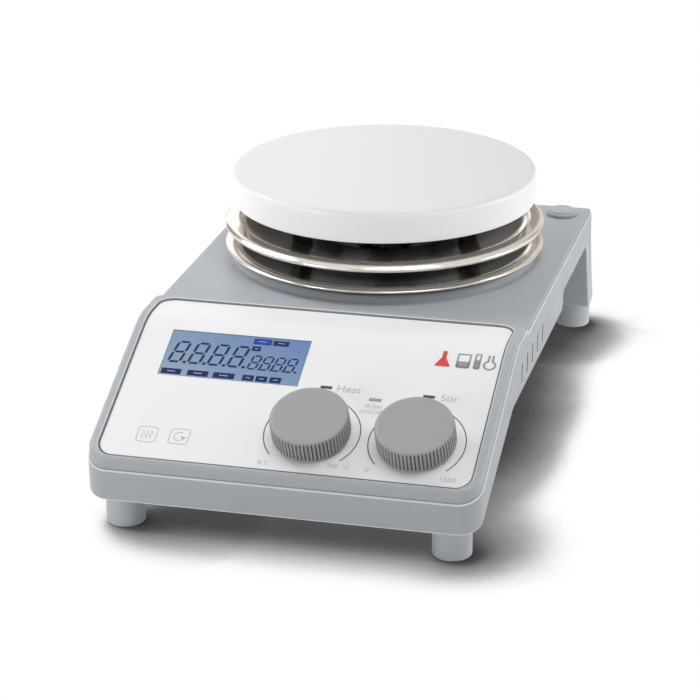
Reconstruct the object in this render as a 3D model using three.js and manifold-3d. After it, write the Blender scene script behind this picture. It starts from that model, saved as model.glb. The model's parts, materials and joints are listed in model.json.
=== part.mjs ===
// Hotplate magnetic stirrer with a round ceramic-coated work plate.
// Millimetres, +Z up. The front, with the display and the two push-and-turn knobs, faces -Y;
// +X is on the right. The origin is on the bench in the middle of the footprint. All shapes are
// drawn about the axis of the work plate, and the finished group is moved by PLATE_AXIS_Y.
import * as THREE from 'three';
import * as BufferGeometryUtils from 'three/addons/utils/BufferGeometryUtils.js';
import Module from 'manifold-3d';

const wasm = await Module();
wasm.setup();

// ---------- driving dimensions ----------
const GAP = 0.3; // air between neighbours that are fitted together

// work plate and the parts inside and under it
const PLATE_AXIS_Y = 37.61; // from the middle of the footprint back to the plate's axis
const PLATE_RADIUS = 67.5;
const PLATE_TOP = 104.1;
const PLATE_DEPTH = 13.6;
const PLATE_THICKNESS = 6;
const PLATE_SKIRT = 3.5;
const PLATE_BOTTOM = PLATE_TOP - PLATE_DEPTH;
const PLATE_UNDERSIDE = PLATE_TOP - PLATE_THICKNESS;
const HEATER_THICKNESS = 3;
const INSULATION_THICKNESS = 3.5;
const RETAINER_THICKNESS = 0.9;
const SHIELD_SHEET = 0.9;
const SHIELD_RADIUS = 71.4;
const UPPER_SHIELD_BASE = 76.1;
const UPPER_BOWL = { bend: 48, crest: 62.4, lip: 81.7, roll: 2.8 };
const LOWER_BOWL = { bend: 53, crest: 65, lip: 71.3, roll: 1.9 };
const STUD_CIRCLE = 42;
const STUD_ANGLES = [104, 224, 344];
const STUD_RADIUS = 2;
const STUD_HOLE = 2.5;
const LEAD_RADIUS = 2.2;
const LEAD_HOLE = 3.6;
const LEAD_Y = 44;
const SENSOR = { x: 24, y: 26, radius: 2.1, hole: 2.5 };

// housing: a lid with the deck and the sloping panel, on a deeper lower half
const HALF_WIDTH = 81;
const FRONT_Y = -181.8;
const REAR_Y = 85;
const FRONT_CORNER = 9.5;
const REAR_CORNER = 3;
const WALL = 2.5;
const DECK_Z = 63.6;
const DECK_SEAM = 62.2;
const SEAM_FRONT_Z = 27.4;
const SEAM_BEND_Y = -103;
const SEAM_BEND_Z = 64.2;
const PANEL_END_Y = -82.5;
const BOSS_RADIUS = 68.2;
const BOSS_TOP = 66.4;
const DECK_HOLE = 16;
const MID_FLOOR = 40.2;
const REAR_FLOOR = 48.8;
const FLOOR_STEP_Y = 8;
const REAR_RAKE = 21.5 / 50.5;
const LEG_BOTTOM = 12;
const UNDERSIDE_RISE = 0.39; // of the front block, from its front edge to the level underside
const UNDERSIDE_BEND_Y = -112;
const SIDE_LEAN = 0.01;
const FRONT_LEAN = 0.07;
const VENT = { count: 5, firstY: -93, pitch: 12, width: 3, z0: 43.5, z1: 53 };

// control panel: its own frame has x to the right, y up the slope and z out of the panel
const PANEL_SLOPE = THREE.MathUtils.degToRad(24.8);
const PANEL_FRONT_Y = -179.6;
const PANEL_FRONT_Z = 32.2;
const PANEL_FLAT_Z = 65.5;
const PANEL_RIM = 1;
const LABEL_HALF_WIDTH = 76.8;
const LABEL_CORNER = 8;
const LABEL_END_Y = -86;
const LABEL_SHEET = 0.4;
const WINDOW = { x0: -63.15, x1: -3.7, y0: 47.1, y1: 72.8 };
const KNOBS = { heat: [8.3, 22.4], stir: [51.1, 22.5] };
const KNOB_RADIUS = 16;
const KNOB_HEIGHT = 9.6;
const KNOB_RIBS = 40;
const KNOB_LIFT = 1.2;
const KNOB_SKIN = 2.3; // above the shaft's bore
const SHAFT_RADIUS = 3;
const LAMP_SIZE = [4.6, 1.3];
const LAMPS = { heat_lamp: [8.3, 48], stir_lamp: [50.85, 47.9], power_lamp: [29.6, 43.55] };

// feet, bottom cover and back panel
const FOOT_RADIUS = 8;
const FRONT_FOOT = [67.7, -168.5];
const REAR_FOOT = [71, 98];
const COVER = { x: 57.6, y0: -99.6, y1: 87.6, z0: 14.8 };
const COVER_WALL = 2;
const EAR_THICKNESS = 2.4;
const LOUVRE = { count: 6, firstY: -84, pitch: 8, width: 3, halfLength: 34 };
const SCREW_HOLE = 2.4;
const COVER_SCREW_HOLE = 2;
const COVER_SCREWS = [[-66, -80], [66, -80], [-66, 50], [66, 50]];
const INLET = { x: 30, drop: 27 };
const SWITCH = { x: -5, drop: 27 };
const PROBE_SOCKET = { x: -30, drop: 20 };
const SERIAL_SOCKET = { x: -36, drop: 37 };
const ROD_HOLE = [68.5, 72];

// motor and magnet rotor
const MOTOR_RADIUS = 28;
const MOTOR_Z = [21, 51];
const MOTOR_SHAFT_RADIUS = 2.5;
const ROTOR_RADIUS = 30;
const ROTOR_Z = [79.6, 83];

// ---------- materials ----------
function paint(colour, roughness, metalness = 0) {
  return new THREE.MeshStandardMaterial({ color: colour, roughness, metalness });
}
const MATERIALS = {
  housing: paint(0x9fa4a8, 0.5),
  cover: paint(0x8f9498, 0.55),
  label: paint(0xededee, 0.4),
  window: paint(0x86a3c4, 0.1),
  dark: paint(0x26282b, 0.5),
  board: paint(0x2f6b46, 0.6),
  knob: paint(0xa6a8a9, 0.5),
  plate: paint(0xebebea, 0.3),
  polished: paint(0xc9c2b8, 0.12, 1),
  steel: paint(0xb4b6b8, 0.35, 1),
  heater: paint(0x8d857c, 0.6, 0.4),
  fibre: paint(0xe6e0d2, 0.95),
  magnet: paint(0x5c5f63, 0.3, 1),
  brass: paint(0xb99a55, 0.35, 1),
  rubber: paint(0xa0a5ab, 0.75),
};

// ---------- shape helpers ----------
function toSolid(geometry) {
  geometry.deleteAttribute('normal');
  geometry.deleteAttribute('uv');
  const merged = BufferGeometryUtils.mergeVertices(geometry, 1e-4);
  return new wasm.Manifold(new wasm.Mesh({
    numProp: 3,
    vertProperties: new Float32Array(merged.attributes.position.array),
    triVerts: new Uint32Array(merged.index.array),
  }));
}

function toGeometry(solid) {
  const data = solid.getMesh();
  const geometry = new THREE.BufferGeometry();
  geometry.setAttribute('position', new THREE.BufferAttribute(data.vertProperties, 3));
  geometry.setIndex(new THREE.BufferAttribute(data.triVerts, 1));
  return geometry;
}

function makeMesh(name, solid, material) {
  const mesh = new THREE.Mesh(toGeometry(solid), material);
  mesh.name = name;
  return mesh;
}

function join(...solids) {
  return solids.reduce((whole, next) => whole.add(next));
}

function cut(solid, ...tools) {
  return tools.reduce((rest, tool) => rest.subtract(tool), solid);
}

function block(x0, x1, y0, y1, z0, z1, matrix) {
  const geometry = new THREE.BoxGeometry(x1 - x0, y1 - y0, z1 - z0);
  geometry.translate((x0 + x1) / 2, (y0 + y1) / 2, (z0 + z1) / 2);
  if (matrix) geometry.applyMatrix4(matrix);
  return toSolid(geometry);
}

// upright cylinder at x, y
function rod(radius, z0, z1, x = 0, y = 0, segments = 20, matrix = null) {
  const geometry = new THREE.CylinderGeometry(radius, radius, z1 - z0, segments);
  geometry.rotateX(Math.PI / 2);
  geometry.translate(x, y, (z0 + z1) / 2);
  if (matrix) geometry.applyMatrix4(matrix);
  return toSolid(geometry);
}

// body of revolution about Z from [radius, z] points, counter-clockwise, closed on itself
function turned(points, segments = 40) {
  const closed = [...points, points[0]];
  const profile = closed.map(([radius, z]) => new THREE.Vector2(radius, z));
  const geometry = new THREE.LatheGeometry(profile, segments);
  geometry.rotateX(Math.PI / 2);
  return toSolid(geometry);
}

// flat outline [x, y] pulled up from z0 to z1
function slab(outline, z0, z1) {
  const shape = new THREE.Shape(outline.map(([x, y]) => new THREE.Vector2(x, y)));
  const geometry = new THREE.ExtrudeGeometry(shape, { depth: z1 - z0, bevelEnabled: false });
  geometry.translate(0, 0, z0);
  return toSolid(geometry);
}

// side-view outline [y, z] pulled across from x0 to x1
function acrossX(outline, x0, x1) {
  const shape = new THREE.Shape(outline.map(([y, z]) => new THREE.Vector2(y, z)));
  const geometry = new THREE.ExtrudeGeometry(shape, { depth: x1 - x0, bevelEnabled: false });
  const turn = new THREE.Matrix4().makeBasis(
    new THREE.Vector3(0, 1, 0), new THREE.Vector3(0, 0, 1), new THREE.Vector3(1, 0, 0));
  geometry.applyMatrix4(turn);
  geometry.translate(x0, 0, 0);
  return toSolid(geometry);
}

// straight line through [position, height] points, level beyond the ends
function heightLine(points) {
  return (position) => {
    if (position <= points[0][0]) return points[0][1];
    for (let i = 1; i < points.length; i += 1) {
      const [p0, h0] = points[i - 1];
      const [p1, h1] = points[i];
      if (position <= p1) return h0 + ((h1 - h0) * (position - p0)) / (p1 - p0);
    }
    return points[points.length - 1][1];
  };
}

// right half of a rounded rectangle, from the front middle to the rear middle, with its normals
function halfOutline({ halfWidth, front, rear, frontRadius, rearRadius, stations, steps = 4 }) {
  const points = [];
  for (let i = 0; i <= steps; i += 1) {
    const angle = -Math.PI / 2 + (i * Math.PI) / 2 / steps;
    points.push(cornerPoint(halfWidth - frontRadius, front + frontRadius, frontRadius, angle));
  }
  for (const y of stations) points.push({ x: halfWidth, y, nx: 1, ny: 0 });
  for (let i = 0; i <= steps / 2; i += 1) {
    const angle = (i * Math.PI) / steps;
    points.push(cornerPoint(halfWidth - rearRadius, rear - rearRadius, rearRadius, angle));
  }
  return points;
}

function cornerPoint(cx, cy, radius, angle) {
  const nx = Math.cos(angle);
  const ny = Math.sin(angle);
  return { x: cx + radius * nx, y: cy + radius * ny, nx, ny };
}

// closed body through stacked rings, top first; a ring is { inset(point), z(y) }
// and both of its ends are capped by strips that run across from side to side
function stacked(outline, rings) {
  const positions = [];
  const indices = [];
  const count = outline.length;
  for (const ring of rings) {
    for (const side of [1, -1]) {
      for (const point of outline) {
        const [insetX, insetY] = ring.inset(point);
        const x = point.x - point.nx * insetX;
        const y = point.y - point.ny * insetY;
        positions.push(side * x, y, ring.z(y));
      }
    }
  }
  const at = (ring, side, i) => (ring * 2 + side) * count + i;
  const quad = (a, b, c, d) => indices.push(a, b, c, a, c, d);
  const last = rings.length - 1;
  for (let i = 0; i < count - 1; i += 1) {
    quad(at(0, 1, i), at(0, 0, i), at(0, 0, i + 1), at(0, 1, i + 1));
    quad(at(last, 0, i), at(last, 1, i), at(last, 1, i + 1), at(last, 0, i + 1));
    for (let k = 0; k < last; k += 1) {
      quad(at(k + 1, 0, i), at(k + 1, 0, i + 1), at(k, 0, i + 1), at(k, 0, i));
      quad(at(k + 1, 1, i + 1), at(k + 1, 1, i), at(k, 1, i), at(k, 1, i + 1));
    }
  }
  for (let k = 0; k < last; k += 1) {
    quad(at(k + 1, 1, 0), at(k + 1, 0, 0), at(k, 0, 0), at(k, 1, 0));
    const end = count - 1;
    quad(at(k + 1, 0, end), at(k + 1, 1, end), at(k, 1, end), at(k, 0, end));
  }
  const geometry = new THREE.BufferGeometry();
  geometry.setAttribute('position', new THREE.Float32BufferAttribute(positions, 3));
  geometry.setIndex(indices);
  return toSolid(geometry);
}

// ---------- frames and height lines ----------
const PANEL_BEND_Y = PANEL_FRONT_Y + (PANEL_FLAT_Z - PANEL_FRONT_Z) / Math.tan(PANEL_SLOPE);
const panelFrame = new THREE.Group();
panelFrame.position.set(0, PANEL_FRONT_Y, PANEL_FRONT_Z);
panelFrame.rotation.x = PANEL_SLOPE;
panelFrame.updateMatrix();

// back panel: x to the left seen from the front, y up the raked wall, z outwards
const rake = Math.atan(REAR_RAKE);
const backFrame = new THREE.Group();
backFrame.position.set(0, REAR_Y, DECK_SEAM);
backFrame.rotation.set(Math.PI / 2 - rake, 0, Math.PI, 'ZXY');
backFrame.updateMatrix();

const labelSurface = heightLine([
  [FRONT_Y - 20, PANEL_FRONT_Z - (PANEL_FRONT_Y - FRONT_Y + 20) * Math.tan(PANEL_SLOPE)],
  [PANEL_BEND_Y, PANEL_FLAT_Z],
]);
const seamLine = heightLine([
  [FRONT_Y, SEAM_FRONT_Z],
  [SEAM_BEND_Y, SEAM_BEND_Z],
  [PANEL_END_Y - 0.5, SEAM_BEND_Z],
  [PANEL_END_Y + 0.5, DECK_SEAM],
]);
const panelTop = (y) => Math.max(labelSurface(y) + PANEL_RIM, seamLine(y) + 1.5);
const lidTop = (y) => (y < PANEL_END_Y ? panelTop(y) : DECK_Z);

const SIDE_STATIONS = [-140, PANEL_BEND_Y, SEAM_BEND_Y, PANEL_END_Y - 0.5,
  PANEL_END_Y, PANEL_END_Y + 0.5, 0, 50];

function housingOutline(inset) {
  return halfOutline({
    halfWidth: HALF_WIDTH - inset,
    front: FRONT_Y + inset,
    rear: REAR_Y - inset,
    frontRadius: FRONT_CORNER - inset,
    rearRadius: REAR_CORNER - inset / 2,
    stations: SIDE_STATIONS,
  });
}

const inward = (distance) => () => [distance, distance];

// ---------- housing ----------
function lidOuter() {
  const rounding = [[3.4, 0], [1.8, 0.12], [0.6, 0.42], [0, 1]];
  const rings = rounding.map(([inset, share]) => ({
    inset: inward(inset),
    z: (y) => lidTop(y) + (seamLine(y) - lidTop(y)) * share,
  }));
  return stacked(housingOutline(0), rings);
}

function lidHollow() {
  const rings = [
    { inset: inward(1.5), z: (y) => Math.min(lidTop(y), labelSurface(y)) - LABEL_SHEET - WALL },
    { inset: inward(0), z: (y) => seamLine(y) - 6 },
  ];
  return stacked(housingOutline(WALL), rings);
}

function labelOutline(inset) {
  return halfOutline({
    halfWidth: LABEL_HALF_WIDTH - inset,
    front: PANEL_FRONT_Y + inset,
    rear: LABEL_END_Y - inset,
    frontRadius: LABEL_CORNER,
    rearRadius: LABEL_CORNER,
    stations: [PANEL_BEND_Y],
  });
}

function labelBed(inset, below, above) {
  return stacked(labelOutline(inset), [
    { inset: inward(0), z: (y) => labelSurface(y) + above },
    { inset: inward(0), z: (y) => labelSurface(y) - below },
  ]);
}

function panelHoles(depth) {
  const slope = panelFrame.matrix;
  const shafts = Object.values(KNOBS).map(([x, y]) => rod(4.4, -depth, 3, x, y, 16, slope));
  const lamps = Object.values(LAMPS).map(([x, y]) => {
    const [halfWidth, halfHeight] = [LAMP_SIZE[0] / 2 + GAP, LAMP_SIZE[1] / 2 + GAP];
    return block(x - halfWidth, x + halfWidth, y - halfHeight, y + halfHeight, -depth, 3, slope);
  });
  return [...shafts, ...lamps];
}

function upperHousing() {
  const { x0, x1, y0, y1 } = WINDOW;
  const boss = turned([
    [0, DECK_Z - 1], [BOSS_RADIUS, DECK_Z - 1], [BOSS_RADIUS, DECK_Z],
    [BOSS_RADIUS - 0.6, DECK_Z + 1.4], [BOSS_RADIUS - 2.4, BOSS_TOP], [0, BOSS_TOP],
  ]);
  const studHoles = onStudCircle((x, y) => rod(STUD_HOLE, DECK_Z - 5, BOSS_TOP + 1, x, y, 12));
  const shell = cut(lidOuter(), lidHollow(), labelBed(0, LABEL_SHEET, 9));
  return cut(
    shell.add(boss),
    rod(DECK_HOLE, DECK_Z - 6, BOSS_TOP + 1, 0, 0, 32),
    rod(LEAD_HOLE, DECK_Z - 6, BOSS_TOP + 1, 0, LEAD_Y, 12),
    rod(5.5, DECK_Z - 6, DECK_Z + 2, ...ROD_HOLE, 24),
    block(x0 - GAP, x1 + GAP, y0 - GAP, y1 + GAP, -1.9, 2, panelFrame.matrix),
    block(x0 + 1.5, x1 - 1.5, y0 + 1.5, y1 - 1.5, -6, 2, panelFrame.matrix),
    ...panelHoles(8),
    ...studHoles,
  );
}

function onStudCircle(make) {
  return STUD_ANGLES.map((degrees) => {
    const angle = THREE.MathUtils.degToRad(degrees);
    return make(STUD_CIRCLE * Math.cos(angle), STUD_CIRCLE * Math.sin(angle));
  });
}

// walls lean in towards the bottom at the front and out at the back
function wallInset(depth) {
  return ({ ny }) => [depth * SIDE_LEAN, depth * (ny > 0 ? -REAR_RAKE : FRONT_LEAN)];
}

function lowerBody(inset, lift) {
  const rings = [-lift, 16, 58].map((depth) => ({
    inset: wallInset(depth),
    z: (y) => seamLine(Math.min(y, REAR_Y)) - GAP - depth,
  }));
  return stacked(housingOutline(inset), rings);
}

// everything below the underside seen from the side; lift raises it by the floor thickness
function belowUnderside(lift) {
  const low = -60;
  const front = -230;
  const frontZ = MID_FLOOR + (front - UNDERSIDE_BEND_Y) * UNDERSIDE_RISE;
  return acrossX([
    [front, low], [140, low], [140, LEG_BOTTOM + lift], [88 + lift, LEG_BOTTOM + lift],
    [74 + lift, REAR_FLOOR + lift], [FLOOR_STEP_Y, REAR_FLOOR + lift],
    [FLOOR_STEP_Y - 1.5, MID_FLOOR + lift], [UNDERSIDE_BEND_Y, MID_FLOOR + lift],
    [front, frontZ + lift],
  ], -HALF_WIDTH - 20, HALF_WIDTH + 20);
}

function ventSlots() {
  const slots = [];
  for (let i = 0; i < VENT.count; i += 1) {
    const y0 = VENT.firstY + i * VENT.pitch - VENT.width / 2;
    slots.push(block(-HALF_WIDTH - 5, -HALF_WIDTH + 8, y0, y0 + VENT.width, VENT.z0, VENT.z1));
    slots.push(block(HALF_WIDTH - 8, HALF_WIDTH + 5, y0, y0 + VENT.width, VENT.z0, VENT.z1));
  }
  return slots;
}

function footPlaces() {
  const [fx, fy] = FRONT_FOOT;
  const [rx, ry] = REAR_FOOT;
  return {
    front_left: [-fx, fy],
    front_right: [fx, fy],
    rear_left: [-rx, ry],
    rear_right: [rx, ry],
  };
}

function backCutouts() {
  const opening = ({ x, drop }, width, height) => {
    const [halfWidth, halfHeight] = [width / 2 + GAP, height / 2 + GAP];
    const across = [-x - halfWidth, -x + halfWidth];
    return block(...across, -drop - halfHeight, -drop + halfHeight, -9, 3, backFrame.matrix);
  };
  return [
    opening(INLET, 27, 26),
    opening(SWITCH, 13, 19),
    opening(PROBE_SOCKET, 10, 10),
    opening(SERIAL_SOCKET, 16, 9),
  ];
}

function lowerHousing() {
  const shell = cut(
    lowerBody(0, 0).subtract(belowUnderside(0)),
    lowerBody(WALL, 6).subtract(belowUnderside(WALL)),
  );
  const places = Object.values(footPlaces());
  const bosses = places.map(([x, y]) => {
    const top = y < 0 ? 22.8 : 19;
    return rod(5, LEG_BOTTOM + 1, top, x, y, 16).subtract(belowUnderside(0));
  });
  const screwHoles = places.map(([x, y]) => rod(SCREW_HOLE, 2, y < 0 ? 30 : 19, x, y, 16));
  const coverHoles = COVER_SCREWS.map(([x, y]) => rod(COVER_SCREW_HOLE, 30, 55, x, y, 12));
  const side = COVER.x + GAP;
  const opening = join(
    block(-side, side, COVER.y0 - GAP, REAR_Y - 11, MID_FLOOR - 2, REAR_FLOOR + 3.5),
    block(-side, side, 70, 86.5, 30, REAR_FLOOR + 3.5),
    block(-side, side, 70, 92, LEG_BOTTOM + WALL, 36),
  );
  const holes = [...screwHoles, ...coverHoles, ...ventSlots(), ...backCutouts()];
  return cut(join(shell, ...bosses), opening, ...holes);
}

function earTop(y) {
  return (y < FLOOR_STEP_Y ? MID_FLOOR : REAR_FLOOR) - GAP;
}

function bottomCover() {
  const { x, y0, y1, z0 } = COVER;
  const outer = join(
    block(-x, x, y0, y1, z0, MID_FLOOR + 1),
    block(-x, x, FLOOR_STEP_Y + 1, y1 - 13, MID_FLOOR, REAR_FLOOR + 1),
  );
  const inner = block(
    -x + COVER_WALL, x - COVER_WALL, y0 + COVER_WALL, y1 - COVER_WALL, z0 + COVER_WALL, 70);
  const tailRoom = block(-x - 1, x + 1, y1 - 13, y1 + 1, z0 + 4, 70);
  const ears = COVER_SCREWS.map(([ex, ey]) => {
    const side = Math.sign(ex);
    const [near, far] = [side * (x - 0.5), side * 71].sort((a, b) => a - b);
    return block(near, far, ey - 6, ey + 6, earTop(ey) - EAR_THICKNESS, earTop(ey));
  });
  const holes = COVER_SCREWS.map(([ex, ey]) => rod(COVER_SCREW_HOLE, 30, 55, ex, ey, 12));
  const louvres = [];
  for (let i = 0; i < LOUVRE.count; i += 1) {
    const front = LOUVRE.firstY + i * LOUVRE.pitch;
    const half = LOUVRE.halfLength;
    louvres.push(block(-half, half, front, front + LOUVRE.width, z0 - 1, z0 + 3));
  }
  return cut(join(outer, ...ears), inner, tailRoom, ...holes, ...louvres);
}

// pan-head screw standing head down, with a cross recess in the head
function screw(headRadius, headHeight, shankRadius, length) {
  const head = rod(headRadius, 0, headHeight, 0, 0, 16);
  const shank = rod(shankRadius, headHeight - 0.5, headHeight + length, 0, 0, 10);
  const slot = headRadius * 0.6;
  const cross = [block(-slot, slot, -0.5, 0.5, -1, 1.1), block(-0.5, 0.5, -slot, slot, -1, 1.1)];
  return cut(head.add(shank), ...cross);
}

// round foot cut to the sloping underside at the front, or to the level end of a rear leg
function foot(x, y) {
  const profile = [
    [0, 0], [FOOT_RADIUS - 1, 0], [FOOT_RADIUS, 1], [FOOT_RADIUS, 30], [0, 30],
  ];
  const body = turned(profile, 20).translate([x, y, 0]);
  const below = y < 0
    ? belowUnderside(0).translate([0, 0, -GAP])
    : block(x - 20, x + 20, y - 20, y + 20, -5, LEG_BOTTOM - GAP);
  const holes = rod(SCREW_HOLE, -1, 30, x, y, 12).add(rod(4.4, -1, 5.4, x, y, 16));
  return body.intersect(below).subtract(holes);
}

function addHousing(group) {
  group.add(makeMesh('upper_housing', upperHousing(), MATERIALS.housing));
  group.add(makeMesh('lower_housing', lowerHousing(), MATERIALS.housing));
  group.add(makeMesh('bottom_cover', bottomCover(), MATERIALS.cover));
  for (const [place, [x, y]] of Object.entries(footPlaces())) {
    group.add(makeMesh(`foot_${place}`, foot(x, y), MATERIALS.rubber));
    const fixing = makeMesh(`foot_screw_${place}`, screw(3.9, 2.4, 2, 15), MATERIALS.steel);
    fixing.position.set(x, y, 2.6);
    group.add(fixing);
  }
  COVER_SCREWS.forEach(([x, y], index) => {
    const fixing = makeMesh(`cover_screw_${index + 1}`, screw(3.2, 2, 1.6, 6), MATERIALS.steel);
    fixing.position.set(x, y, earTop(y) - EAR_THICKNESS - 2 - 0.2);
    group.add(fixing);
  });
}

// ---------- control panel ----------
function panelLabel() {
  const { x0, x1, y0, y1 } = WINDOW;
  const sheet = labelBed(0.35, LABEL_SHEET - 0.05, 0);
  return cut(
    sheet,
    block(x0 - GAP, x1 + GAP, y0 - GAP, y1 + GAP, -3, 2, panelFrame.matrix),
    ...panelHoles(3),
  );
}

// ribbed knob standing on z = 0, hollow underneath, with a hub for the shaft
function knob() {
  const outline = [];
  for (let i = 0; i < KNOB_RIBS * 2; i += 1) {
    const angle = (i * Math.PI) / KNOB_RIBS;
    const radius = KNOB_RADIUS - (i % 2 === 0 ? 0 : 0.5);
    outline.push([radius * Math.cos(angle), radius * Math.sin(angle)]);
  }
  const grip = slab(outline, 0, KNOB_HEIGHT - 1);
  const crown = turned([
    [0, KNOB_HEIGHT - 1.5], [15.4, KNOB_HEIGHT - 1.5], [15.4, KNOB_HEIGHT - 0.7],
    [14.6, KNOB_HEIGHT], [0, KNOB_HEIGHT],
  ], KNOB_RIBS);
  const hollow = rod(13, -1, KNOB_HEIGHT - 3.2, 0, 0, 20).subtract(rod(5.5, -2, 9, 0, 0, 16));
  return cut(grip.add(crown), hollow, rod(SHAFT_RADIUS + GAP, -1, KNOB_HEIGHT - KNOB_SKIN, 0, 0, 16));
}

function encoderBody() {
  const body = join(block(-6.5, 6.5, -6.5, 6.5, -10.4, -3.6), rod(3.9, -4, -0.7, 0, 0, 16));
  return body.subtract(rod(SHAFT_RADIUS + GAP, -9.9, 1, 0, 0, 16));
}

// one push-and-turn control, built about its own axis
function addControl(panel, name, [x, y]) {
  const control = new THREE.Group();
  control.position.set(x, y, 0);
  const shaftTop = KNOB_LIFT + KNOB_HEIGHT - KNOB_SKIN - 0.5;
  const turningShaft = rod(SHAFT_RADIUS, -7.2, shaftTop, 0, 0, 16).subtract(block(-4, 4, 2, 4, 2, 10));
  const cap = makeMesh(`${name}_knob`, knob(), MATERIALS.knob);
  cap.position.z = KNOB_LIFT;
  control.add(cap);
  control.add(makeMesh(`${name}_encoder`, encoderBody(), MATERIALS.dark));
  control.add(makeMesh(`${name}_shaft`, turningShaft, MATERIALS.steel));
  control.add(makeMesh(`${name}_push_button`, rod(2.8, -8.7, -7.5, 0, 0, 16), MATERIALS.dark));
  panel.add(control);
}

function displayModule() {
  const { x0, x1, y0, y1 } = WINDOW;
  const glass = block(x0 - 1, x1 + 1, y0 - 1, y1 + 1, -8, -3.9);
  const carrier = block(x0 - 2.5, x1 + 2.5, y0 - 2.5, y1 + 2, -10.2, -7.5);
  return glass.add(carrier);
}

function controlBoard() {
  const sheet = block(-70, 68, 8, 75, -12.4, -10.8);
  const parts = [[-40, 24, 6, 4], [-20, 20, 4, 4], [26, 55, 7, 5], [56, 60, 4, 3], [-58, 30, 3, 6]]
    .map(([x, y, w, h]) => block(x - w, x + w, y - h, y + h, -11, -9.2));
  return join(sheet, ...parts);
}

function addPanel(group) {
  group.add(makeMesh('panel_label', panelLabel(), MATERIALS.label));
  const { x0, x1, y0, y1 } = WINDOW;
  panelFrame.add(makeMesh('display_window', block(x0, x1, y0, y1, -1.6, -0.05), MATERIALS.window));
  panelFrame.add(makeMesh('display_module', displayModule(), MATERIALS.dark));
  panelFrame.add(makeMesh('control_board', controlBoard(), MATERIALS.board));
  for (const [name, [x, y]] of Object.entries(LAMPS)) {
    const [halfWidth, halfHeight] = [LAMP_SIZE[0] / 2, LAMP_SIZE[1] / 2];
    const lamp = block(x - halfWidth, x + halfWidth, y - halfHeight, y + halfHeight, -8, -0.05);
    panelFrame.add(makeMesh(name, lamp, MATERIALS.dark));
  }
  for (const [name, place] of Object.entries(KNOBS)) addControl(panelFrame, name, place);
  group.add(panelFrame);
}

// ---------- heat stack ----------
function sensorRod(radius, z0, z1) {
  return rod(radius, z0, z1, SENSOR.x, SENSOR.y, 12);
}

function workPlate() {
  return turned([
    [0, PLATE_UNDERSIDE], [PLATE_RADIUS - PLATE_SKIRT, PLATE_UNDERSIDE],
    [PLATE_RADIUS - PLATE_SKIRT, PLATE_BOTTOM], [PLATE_RADIUS - 0.6, PLATE_BOTTOM],
    [PLATE_RADIUS, PLATE_BOTTOM + 0.6], [PLATE_RADIUS, PLATE_TOP - 1.6],
    [PLATE_RADIUS - 0.5, PLATE_TOP - 0.5], [PLATE_RADIUS - 1.6, PLATE_TOP], [0, PLATE_TOP],
  ], 48).subtract(sensorRod(SENSOR.hole, PLATE_UNDERSIDE - 1, PLATE_UNDERSIDE + 1.8));
}

// dished sheet ring: flat base, slowly rising bowl, and a broad crest whose rim rolls down outside
function heatShield(base, hole, shape) {
  const { bend, crest, lip, roll } = shape;
  const upper = [
    [hole, base + SHIELD_SHEET], [bend, base + SHIELD_SHEET], [crest, lip - 0.9], [crest + 2.6, lip],
    [SHIELD_RADIUS - 2.4, lip - 0.4], [SHIELD_RADIUS, lip - 0.68 * roll], [SHIELD_RADIUS - 0.4, lip - roll],
  ];
  const lower = [
    [SHIELD_RADIUS - 1.2, lip - roll], [SHIELD_RADIUS - 1, lip - 0.72 * roll],
    [SHIELD_RADIUS - 2.8, lip - 1.3],
    [crest + 3, lip - 0.9], [crest + 0.6, lip - 1.8], [bend + 0.4, base], [hole, base],
  ];
  return turned([...upper, ...lower].reverse(), 40);
}

function shieldHoles(z0, z1) {
  return [
    ...onStudCircle((x, y) => rod(STUD_HOLE, z0, z1, x, y, 12)),
    rod(LEAD_HOLE, z0, z1, 0, LEAD_Y, 12),
  ];
}

function disc(radius, z0, z1, hole = 0) {
  const whole = rod(radius, z0, z1, 0, 0, 32);
  return hole > 0 ? whole.subtract(rod(hole, z0 - 1, z1 + 1)) : whole;
}

const HEATER_TOP = PLATE_UNDERSIDE - GAP;
const HEATER_BOTTOM = HEATER_TOP - HEATER_THICKNESS;
const INSULATION_TOP = HEATER_BOTTOM - GAP;
const INSULATION_BOTTOM = INSULATION_TOP - INSULATION_THICKNESS;
const RETAINER_TOP = INSULATION_BOTTOM - GAP;
const RETAINER_BOTTOM = RETAINER_TOP - RETAINER_THICKNESS;

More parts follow.
